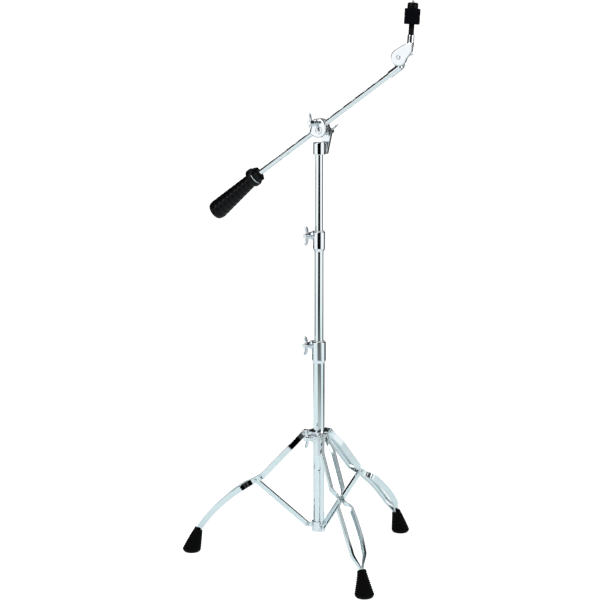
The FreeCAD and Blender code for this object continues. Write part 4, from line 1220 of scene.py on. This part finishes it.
        def add(share: float, radius: float, sink: float = 0.0) -> None:
            """Adds a ring between mouth and widest line.

            Args:
                share: how far down from the mouth.
                radius: the ring's radius.
                sink: how far it is set into the mouth.
            """
            tilt = math.radians(lean * (1 - share) * self.lip_tilt)
            normal = Vector((-math.sin(tilt), 0, math.cos(tilt)))
            centre = mouth.lerp(low, share) - normal * sink
            place = turn @ frame_at(centre, Vector((1, 0, 0)), normal)
            rings.append(circle(radius, place, self.segments))

        for inset, sink in self.lip:
            add(0.0, self.mouth_r - inset, sink)
        rows = self.ribs * self.rib_steps
        for index in range(3, rows + 1):
            share = index / rows
            wave = 0.5 - 0.5 * math.cos(math.tau * share * self.ribs)
            groove = self.rib * wave ** self.rib_sharpness * ease(share * self.rib_onset)
            add(share, lerp(self.mouth_r, self.sole_r, share) - groove)
        for share in self.sole_shares:
            bulge = math.sqrt(1 - (1 - share) ** 2)
            radius = lerp(self.flat_r, self.sole_r, bulge ** self.sole_fullness)
            centre = sole + Vector((0, 0, self.sole_edge * share))
            rings.append(circle(radius, turn @ Matrix.Translation(centre), self.segments))
        rings.append(circle(self.flat_r, turn @ Matrix.Translation(sole), self.segments))
        return loft(rings)

    def build(self, shop: Workshop) -> None:
        """Builds the tripod.

        Args:
            shop: where pieces are made.
        """
        for index, name in enumerate("abc"):
            turn = Matrix.Rotation(math.radians(self.first_bearing + 120 * index), 4, "Z")
            body, stay, foot = "leg_" + name, "stay_" + name, "foot_" + name
            for side, word in ((-1, "near"), (1, "far")):
                node = "leg_strip_%s_%s" % (word, name)
                strip = self.strip(side, turn)
                shop.piece(
                    node + "_skin", strip, Slot.PRESSED_CHROME, body, [node], ROLLED_SHARP_ANGLE
                )
            rubber = self.foot(turn)
            shop.piece(foot + "_skin", rubber, Slot.RUBBER, body, [foot], MOULDED_SHARP_ANGLE)
            shop.cast_copy(Casting("knee_rivets_" + name, Slot.ZINC_STEEL, body, 0.2, 3))
            shop.cast_copy(Casting(stay, Slot.PRESSED_CHROME, stay, 0.5, 3))
        for casting in (
            Casting("leg_collar", Slot.CAST_CHROME, "leg_slider"),
            Casting("leg_pins", Slot.ZINC_STEEL, "leg_slider", 0.3, 3),
            Casting("stay_collar", Slot.CAST_CHROME, "base", 0.45),
            Casting("stay_pins", Slot.ZINC_STEEL, "base", 0.3, 3),
            Casting("leg_lock_wing", Slot.CAST_CHROME, "leg_lock", 0.4),
        ):
            shop.cast_copy(casting)


# ---- column ----------------------------------------------------------------------------------


@dataclass
class Column:
    """The three tubes and the two height clamps."""

    clamp_grid: float = 0.5
    wing_grid: float = 0.4
    nut_grid: float = 0.3

    def build(self, shop: Workshop) -> None:
        """Builds the column.

        Args:
            shop: where pieces are made.
        """
        shop.turned_copy("base_tube", Slot.TUBE_CHROME, "base")
        shop.turned_copy("mid_tube", Slot.TUBE_CHROME, "mid_column")
        shop.turned_copy("top_tube", Slot.TUBE_CHROME, "top_column")
        shop.turned_copy("base_plug", Slot.RUBBER, "base")
        shop.dress("mid_tube_guide", Slot.NYLON)
        shop.dress("top_tube_guide", Slot.NYLON)
        for name, body, wing_body, turn_body in (
            ("lower", "base", "lower_wing", "lower_turn"),
            ("upper", "mid_column", "upper_wing", "upper_turn"),
        ):
            clamp = name + "_clamp"
            shop.cast_copy(Casting(clamp, Slot.CAST_CHROME, body, self.clamp_grid))
            shop.cast_copy(Casting(clamp + "_nut", Slot.ZINC_STEEL, body, self.nut_grid, 2))
            shop.cast_copy(Casting(clamp + "_wing", Slot.CAST_CHROME, wing_body, self.wing_grid))
            shop.turned_copy(clamp + "_bushing", Slot.NYLON, turn_body)


# ---- boom ------------------------------------------------------------------------------------


@dataclass
class BoomPlace:
    """Where the boom lies, in millimetres and degrees."""

    height: float = 1092.0
    bearing: float = -28.0
    incline: float = 34.8
    level: Vector = field(init=False)
    centre: Vector = field(init=False)
    along: Vector = field(init=False)
    over: Vector = field(init=False)
    near: Vector = field(init=False)

    def __post_init__(self) -> None:
        """Works out the boom's centre and axes."""
        level = bearing(self.bearing)
        rise = math.radians(self.incline)
        up = Vector((0, 0, 1))
        self.level = level
        self.centre = Vector((0, 0, self.height))
        self.along = level * math.cos(rise) + up * math.sin(rise)
        self.over = up * math.cos(rise) - level * math.sin(rise)
        self.near = self.along.cross(self.over)

    def along_axis(self, distance: float, drop: float = 0.0) -> Matrix:
        """Matrix whose Z runs up along the boom from a point beside its axis.

        Args:
            distance: place along the boom from its clamp.
            drop: offset below the axis, square to it.

        Returns:
            The matrix in millimetres.
        """
        origin = self.centre + self.along * distance - self.over * drop
        return frame_at(origin, self.over, self.along)


@dataclass
class Counterweight:
    """The weight, its trim ring and its lock ring."""

    place: BoomPlace
    flange_front: float = -219.3
    flange: float = 13.0
    flange_r: float = 23.5
    length: float = 122.0
    neck_r: float = 16.8
    neck_drop: float = 2.0
    end_r: float = 24.6
    end_drop: float = 10.5
    dome: float = 17.0
    dome_r: float = 14.0
    dome_steps: int = 14
    dome_fullness: float = 0.45
    roll: float = 1.6
    ribs: int = 9
    rib: float = 1.3
    rib_steps: int = 14
    rib_sharpness: int = 6
    bore: float = 6.45
    bore_shown: float = 3.0
    segments: int = 96

    def shell(self) -> bpy.types.Mesh:
        """Tapered body with its flange, grooves and rounded end.

        Returns:
            The shell's mesh.
        """
        back = self.flange_front - self.flange
        rings: list[list[Vector]] = []

        def add(distance: float, radius: float, drop: float) -> None:
            """Adds a ring square to the boom.

            Args:
                distance: place along the boom from its clamp.
                radius: the ring's radius.
                drop: its offset below the boom's axis.
            """
            rings.append(circle(radius, self.place.along_axis(distance, drop), self.segments))

        add(self.flange_front - self.bore_shown, self.bore, 0.0)
        add(self.flange_front, self.bore, 0.0)
        for radius, inset in (
            (self.flange_r - self.roll, 0.0),
            (self.flange_r - 0.6, 0.3),
            (self.flange_r, 1.2),
            (self.flange_r, self.flange - self.roll),
            (self.flange_r - 0.5, self.flange - 0.5),
            (self.flange_r - self.roll, self.flange),
        ):
            add(self.flange_front - inset, radius, 0.0)
        add(back, self.neck_r + 2.2, self.neck_drop * 0.4)
        add(back - 0.7, self.neck_r + 0.6, self.neck_drop * 0.8)
        rows = self.ribs * self.rib_steps
        for index in range(2, rows + 1):
            share = index / rows
            wave = 0.5 - 0.5 * math.cos(math.tau * share * self.ribs)
            groove = self.rib * wave ** self.rib_sharpness
            radius = lerp(self.neck_r, self.end_r, share) - groove
            add(back - self.length * share, radius, lerp(self.neck_drop, self.end_drop, share))
        for index in range(1, self.dome_steps + 1):
            turn = math.pi / 2 * index / self.dome_steps
            radius = lerp(self.dome_r, self.end_r, math.cos(turn) ** self.dome_fullness)
            add(back - self.length - self.dome * math.sin(turn), radius, self.end_drop)
        return loft(rings)

    def build(self, shop: Workshop) -> None:
        """Builds the counterweight.

        Args:
            shop: where pieces are made.
        """
        shell = self.shell()
        shop.piece(
            "weight_shell_skin", shell, Slot.PLASTIC, "weight", ["weight_shell"],
            ROLLED_SHARP_ANGLE,
        )
        shop.turned_copy("weight_ring", Slot.TUBE_CHROME, "weight")
        shop.dress("weight_core", Slot.IRON)
        shop.cast_copy(Casting("weight_lock", Slot.PLASTIC, "weight_ring_lock", 0.4, 3))


@dataclass
class Boom:
    """Bracket, boom clamp, rod and the bolts between them."""

    place: BoomPlace
    # The next fields place dark discs that paint the shade in the rod's row of recesses.
    marks: int = 9
    pitch: float = 38.4
    first: float = -103.0
    shade_disc_r: float = 1.7
    shade_disc_sunk: float = 0.35
    shade_disc_depth: float = 0.6
    shade_disc_turn: float = 39.0
    rod_r: float = 6.35

    def recess_shade_discs(self, shop: Workshop) -> None:
        """Dark discs sunk in the rod's row of small recesses, as painted shade inside them.

        Args:
            shop: where pieces are made.
        """
        turn = math.radians(self.shade_disc_turn)
        out = self.place.over * math.sin(turn) + self.place.near * math.cos(turn)
        height = self.rod_r - self.shade_disc_sunk
        start = self.place.centre + self.place.along * self.first + out * height
        # Black discs sunk just under the rod's surface paint the shade inside its recesses.
        mesh = shop.row.grow(
            None, shop.finishes[Slot.PLASTIC], Count=self.marks, Pitch=self.pitch * MM,
            Disc_radius=self.shade_disc_r * MM, Depth=self.shade_disc_depth * MM,
        )
        mesh.transform(frame_at(start * MM, self.place.along, out))
        shop.piece("boom_index_marks", mesh, Slot.PLASTIC, "boom")

    def build(self, shop: Workshop) -> None:
        """Builds the boom's holder and rod.

        Args:
            shop: where pieces are made.
        """
        shop.cast_copy(Casting("boom_bracket", Slot.CAST_CHROME, "top_column"))
        shop.turned_copy("tilt_washer", Slot.PLASTIC, "top_column")
        shop.cast_copy(Casting("tilt_wing", Slot.CAST_CHROME, "tilt_lock", 0.4))
        shop.cast_copy(Casting("drum_rear", Slot.CAST_CHROME, "boom_clamp", 0.45))
        shop.cast_copy(Casting("drum_front", Slot.CAST_CHROME, "boom_clamp", 0.45))
        shop.turned_copy("tilt_bolt", Slot.ZINC_STEEL, "boom_clamp")
        shop.cast_copy(Casting("boom_clamp_nut", Slot.ZINC_STEEL, "boom_clamp", 0.3, 2))
        shop.cast_copy(Casting("boom_wing", Slot.CAST_CHROME, "boom_lock", 0.4))
        shop.turned_copy("boom_liner", Slot.NYLON, "boom_turn")
        shop.turned_copy("boom_rod", Slot.TUBE_CHROME, "boom")
        self.recess_shade_discs(shop)


# ---- tilter ----------------------------------------------------------------------------------


@dataclass
class Tilter:
    """Cymbal tilter with its post, felts and nut."""

    place: BoomPlace
    out: float = 276.0
    up: float = 19.0
    neck_out: float = 27.5
    neck_up: float = 33.0
    lean: float = 3.4
    neck: float = 21.0
    seat: float = 24.5
    sleeve_r: float = 5.4
    felt_r: float = 19.0
    felt_length: float = 18.4
    felt_fit: float = 0.3
    felt_gap: float = 0.1
    felt_worn: float = 0.35
    felt_edge: float = 1.6
    felt_step: float = 1.2
    felt_swell: float = 0.22
    felt_waves: tuple[float, float, float] = (0.9, 1.1, 1.7)
    felt_phase: float = 1.3
    fibres: float = 1.1e6
    fibre_r: float = 0.055
    fibre: float = 0.75
    stud_r: float = 3.0
    nut_r: float = 13.0
    nut_length: float = 14.0
    nut_skirt: float = 0.9
    nut_ridges: int = 20
    ridge_r: float = 1.15
    ridge_flatness: float = 0.85
    ridge_short: float = 3.4
    bore_fit: float = 0.06
    stud_shown: float = 5.0
    stud_plain: float = 1.4
    thread_gap: float = 0.2
    post: Matrix = field(init=False)
    seat_top: float = field(init=False)
    upper_felt: float = field(init=False)
    nut_low: float = field(init=False)

    def __post_init__(self) -> None:
        """Places the cymbal post."""
        angle = math.radians(self.lean)
        centre = self.place.centre + self.place.along * self.out + self.place.over * self.up
        axis = Vector((0, 0, 1)) * math.cos(angle) + self.place.level * math.sin(angle)
        base = centre + self.place.level * self.neck_out + Vector((0, 0, self.neck_up))
        self.post = frame_at(base, self.place.level, axis)
        self.seat_top = self.neck + self.seat
        self.upper_felt = self.seat_top + self.felt_length + self.felt_gap
        self.nut_low = self.upper_felt + self.felt_length + self.felt_gap

    def felt(self, shop: Workshop, node: str, low: float, body: str) -> None:
        """One dense felt with worn edges and short fibres.

        Args:
            shop: where pieces are made.
            node: the node it stands for.
            low: its lower face along the post.
            body: the body it moves with.
        """
        high = low + self.felt_length
        inner = self.sleeve_r + self.felt_fit
        outer = self.felt_r - self.felt_worn
        outline = []
        corners = [(inner, low), (outer, low), (outer, high), (inner, high)]
        smooth = rounded(corners, self.felt_edge, 5)
        for first, second in zip(smooth, smooth[1:] + smooth[:1]):
            pieces = max(1, int(math.dist(first, second) / self.felt_step))
            for share in (index / pieces for index in range(pieces)):
                outline.append(tuple(lerp(a, b, share) for a, b in zip(first, second)))
        mesh = lathe(outline, self.post, 96)
        wave_x, wave_y, wave_z = self.felt_waves
        for vertex in mesh.vertices:
            local = self.post.inverted() @ (vertex.co / MM)
            swell = math.sin(local.x * wave_x + self.felt_phase * low)
            swell *= math.sin(local.y * wave_y)
            swell *= math.sin(local.z * wave_z)
            radial = Vector((local.x, local.y, 0)).normalized()
            local = local + radial * (self.felt_swell * swell)
            vertex.co = (self.post @ local) * MM
        grown = shop.fuzz.grow(
            mesh, shop.finishes[Slot.FELT], Density=self.fibres,
            Fibre_radius=self.fibre_r * MM, Length=self.fibre * MM,
        )
        shop.piece(node + "_skin", grown, Slot.FELT, body, [node], MOULDED_SHARP_ANGLE)

    def nut(self, shop: Workshop) -> None:
        """Moulded nut with upright ridges and a dished top.

        Args:
            shop: where pieces are made.
        """
        low, high = self.nut_low, self.nut_low + self.nut_length
        core, bore = self.nut_r - self.nut_skirt, self.stud_r + self.bore_fit
        profile = [
            (bore, low), (core - 0.8, low), (core, low + 0.8), (core, high - 2.6),
            (core - 0.5, high - 1.2), (core - 1.8, high - 0.2), (core - 3.4, high),
            (self.stud_r + 3.2, high), (self.stud_r + 2.4, high - 0.9), (bore, high - 0.9),
        ]
        body = lathe(profile, self.post, 80)
        length = self.nut_length - self.ridge_short
        ridges = shop.ring.grow(
            None, shop.finishes[Slot.PLASTIC], Count=self.nut_ridges, Radius=(core - 0.1) * MM,
            Sides=10, Bar_radius=self.ridge_r * MM, Length=length * MM,
            Flatness=self.ridge_flatness,
        )
        middle = self.post @ Matrix.Translation((0, 0, low + 0.5 + length / 2))
        middle.translation *= MM
        ridges.transform(middle)
        whole = joined([body, tidied(ridges)])
        shop.piece("cymbal_nut_skin", whole, Slot.PLASTIC, "nut", ["cymbal_nut"])

    def build(self, shop: Workshop) -> None:
        """Builds the tilter.

        Args:
            shop: where pieces are made.
        """
        for casting in (
            Casting("tilter_base", Slot.CAST_CHROME, "boom", 0.4, 12),
            Casting("tilter_arm", Slot.CAST_CHROME, "tilter", 0.5, 80),
            Casting("tilter_bolt", Slot.ZINC_STEEL, "boom", 0.35, 45),
            Casting("tilter_wing", Slot.CAST_CHROME, "tilter_lock", 0.4),
        ):
            shop.cast_copy(casting)
        shop.turned_copy("cymbal_seat", Slot.PLASTIC, "tilter")
        shop.turned_copy("cymbal_stud", Slot.ZINC_STEEL, "tilter")
        self.felt(shop, "lower_felt", self.seat_top, "tilter")
        self.felt(shop, "upper_felt", self.upper_felt, "felt")
        self.nut(shop)
        start = self.nut_low + self.nut_length + self.thread_gap
        tip = self.post @ Matrix.Translation((0, 0, start))
        length = self.stud_shown - self.stud_plain
        shop.screw_end("stud_thread", "tilter", tip, self.stud_r, length, Slot.ZINC_STEEL)


# ---- studio ----------------------------------------------------------------------------------


@dataclass(frozen=True)
class Card:
    """A grey card seen in the polished parts, by its angles round and above the stand."""

    around: tuple[float, float]
    height: tuple[float, float]
    level: float
    soft: float = 2.0
    tint: float = 0.96


@dataclass(frozen=True)
class Lamp:
    """A soft square lamp, in metres and watts."""

    name: str
    place: tuple[float, float, float]
    size: float
    watts: float


@dataclass
class Studio:
    """Floor, light, surroundings and camera."""

    floor_r: float = 1.15
    floor_glow: float = 0.90
    floor_colour: Colour = (0.80, 0.88, 0.89)
    floor_mirrored: Colour = (0.52, 0.57, 0.58)
    lamps: tuple[Lamp, ...] = (
        Lamp("key", (-1.8, -2.2, 2.8), 1.6, 34.0),
        Lamp("fill", (2.4, -1.6, 1.8), 1.6, 16.0),
    )
    lit: tuple[float, float, float] = (0.0, 0.0, 0.7)
    eye: tuple[float, float, float] = (-0.04735, -4.5, 1.35)
    pitch: float = 8.65
    lens: float = 109.86
    sensor: float = 36.0
    white: float = 1.16
    cards: tuple[Card, ...] = (
        # the lower half: the horizon, then the ground
        Card((-200.0, 200.0), (-14.0, -8.5), 0.92, 2.0, 0.89),
        Card((-200.0, 200.0), (-91.0, -14.0), 0.72, 4.0, 0.94),
        # the ceiling
        Card((-200.0, 200.0), (44.0, 91.0), 0.55, 3.0),
        Card((-200.0, 200.0), (44.0, 62.0), 0.03, 3.0),
        # dark flags low at both sides
        Card((-200.0, -62.0), (-62.0, -27.0), 0.05, 3.0),
        Card((58.0, 200.0), (-62.0, -27.0), 0.05, 3.0),
        # the left wall
        Card((-200.0, -104.0), (-11.2, 58.0), 0.02, 1.0),
        Card((-200.0, -66.0), (-1.6, 58.0), 0.02, 1.0),
        # the right wall
        Card((98.0, 200.0), (-8.5, 58.0), 0.40, 2.5),
        Card((98.0, 148.0), (-8.5, 58.0), 0.06, 2.5),
        Card((110.0, 148.0), (-24.0, -8.5), 0.06, 2.5),
        Card((98.0, 200.0), (4.0, 58.0), 0.02, 2.0),
        Card((98.0, 200.0), (-12.5, -8.5), 0.05, 1.0),
        # the dark opening behind the viewer and the flags beside it
        Card((-22.0, 25.0), (-12.5, 40.0), 0.22, 1.5),
        Card((-35.0, 31.0), (-10.0, 40.0), 0.0, 1.2),
        Card((28.0, 52.0), (3.0, 14.0), 0.0, 1.5),
        Card((30.0, 35.5), (13.4, 40.0), 0.0, 1.0),
        Card((35.0, 56.0), (15.0, 40.0), 0.0, 1.0),
        Card((26.0, 42.0), (-12.5, -10.0), 0.03, 1.0),
    )

    def floor(self) -> None:
        """Pale round floor."""
        mesh = bpy.data.meshes.new("studio_floor")
        work = bmesh.new()
        bmesh.ops.create_circle(work, cap_ends=True, segments=160, radius=self.floor_r)
        work.to_mesh(mesh)
        work.free()
        material = bpy.data.materials.new("studio_floor")
        material.use_nodes = True
        shader = ShaderTree(material.node_tree)
        seen = shader.add("LightPath").outputs["Is Camera Ray"]
        glow = Finish.mix(shader, seen, Finish.rgba(self.floor_mirrored), WHITE)
        body = shader.add("BsdfPrincipled", Emission_Color=glow)
        body.inputs["Base Color"].default_value = Finish.rgba(self.floor_colour)
        body.inputs["Roughness"].default_value = 0.9
        body.inputs["Emission Strength"].default_value = self.floor_glow
        out = shader.add("OutputMaterial")
        material.node_tree.links.new(body.outputs[0], out.inputs["Surface"])
        mesh.materials.append(material)
        item = bpy.data.objects.new("studio_floor", mesh)
        bpy.context.collection.objects.link(item)

    def band(
        self, shader: ShaderTree, value: object, low: float, high: float, soft: float
    ) -> bpy.types.NodeSocket:
        """Share that is 1 between two angles and fades out beside them.

        Args:
            shader: the world's tree.
            value: the angle's socket, in degrees.
            low: lower angle.
            high: upper angle.
            soft: width of each fade.

        Returns:
            The share's socket.
        """
        rise, fall = (
            shader.add(
                "MapRange", Value=value, From_Min=edge - soft, From_Max=edge + soft
            ).outputs[0]
            for edge in (low, high)
        )
        return shader.math("MULTIPLY", rise, shader.math("SUBTRACT", 1.0, fall))

    def surroundings(self) -> None:
        """White studio with dark cards at its sides, behind the viewer and overhead."""
        world = bpy.data.worlds.new("studio")
        bpy.context.scene.world = world
        world.use_nodes = True
        shader = ShaderTree(world.node_tree)
        facing = shader.add("TexCoord").outputs["Generated"]
        parts = shader.add("SeparateXYZ", Vector=facing).outputs
        towards = shader.math("MULTIPLY", parts[1], -1.0)
        degrees = 180 / math.pi
        around = shader.math("MULTIPLY", shader.math("ARCTAN2", parts[0], towards), degrees)
        height = shader.math("MULTIPLY", shader.math("ARCSINE", parts[2]), degrees)
        shade = WHITE
        for card in self.cards:
            share = shader.math(
                "MULTIPLY",
                self.band(shader, around, *card.around, card.soft),
                self.band(shader, height, *card.height, card.soft),
            )
            level = card.level
            shade = Finish.mix(shader, share, shade, (level * card.tint, level, level * 1.01, 1.0))
        camera_ray = shader.add("LightPath").outputs["Is Camera Ray"]
        seen = Finish.mix(shader, camera_ray, shade, WHITE)
        back = shader.add("Background", Color=seen, Strength=self.white)
        out = shader.add("OutputWorld")
        world.node_tree.links.new(back.outputs[0], out.inputs["Surface"])

    def hang(self, lamp: Lamp) -> None:
        """Hangs one lamp and points it at the stand.

        Args:
            lamp: the lamp to make.
        """
        data = bpy.data.lights.new(lamp.name, "AREA")
        data.size = lamp.size
        data.energy = lamp.watts
        item = bpy.data.objects.new(lamp.name, data)
        place = Vector(lamp.place)
        item.location = place
        item.rotation_euler = (Vector(self.lit) - place).to_track_quat("-Z", "Y").to_euler()
        bpy.context.collection.objects.link(item)

    def camera(self) -> None:
        """Camera at the viewing angle."""
        data = bpy.data.cameras.new("view")
        data.lens = self.lens
        data.sensor_width = self.sensor
        data.clip_end = 100.0
        camera = bpy.data.objects.new("view", data)
        camera.location = self.eye
        camera.rotation_euler = (math.radians(90 - self.pitch), 0, 0)
        bpy.context.collection.objects.link(camera)
        bpy.context.scene.camera = camera

    def build(self) -> None:
        """Sets up the studio."""
        self.floor()
        self.surroundings()
        for lamp in self.lamps:
            self.hang(lamp)
        self.camera()
        bpy.context.scene.view_settings.view_transform = "Standard"


def main() -> None:
    """Builds the stand's looks and its studio in order."""
    logging.basicConfig(level=logging.INFO, format="%(message)s")
    shop = Workshop()
    place = BoomPlace()
    Tripod().build(shop)
    Column().build(shop)
    Boom(place).build(shop)
    Counterweight(place).build(shop)
    Tilter(place).build(shop)
    Studio().build()
    LOG.info("%d pieces", len(shop.made))


if __name__ == "__main__":
    main()
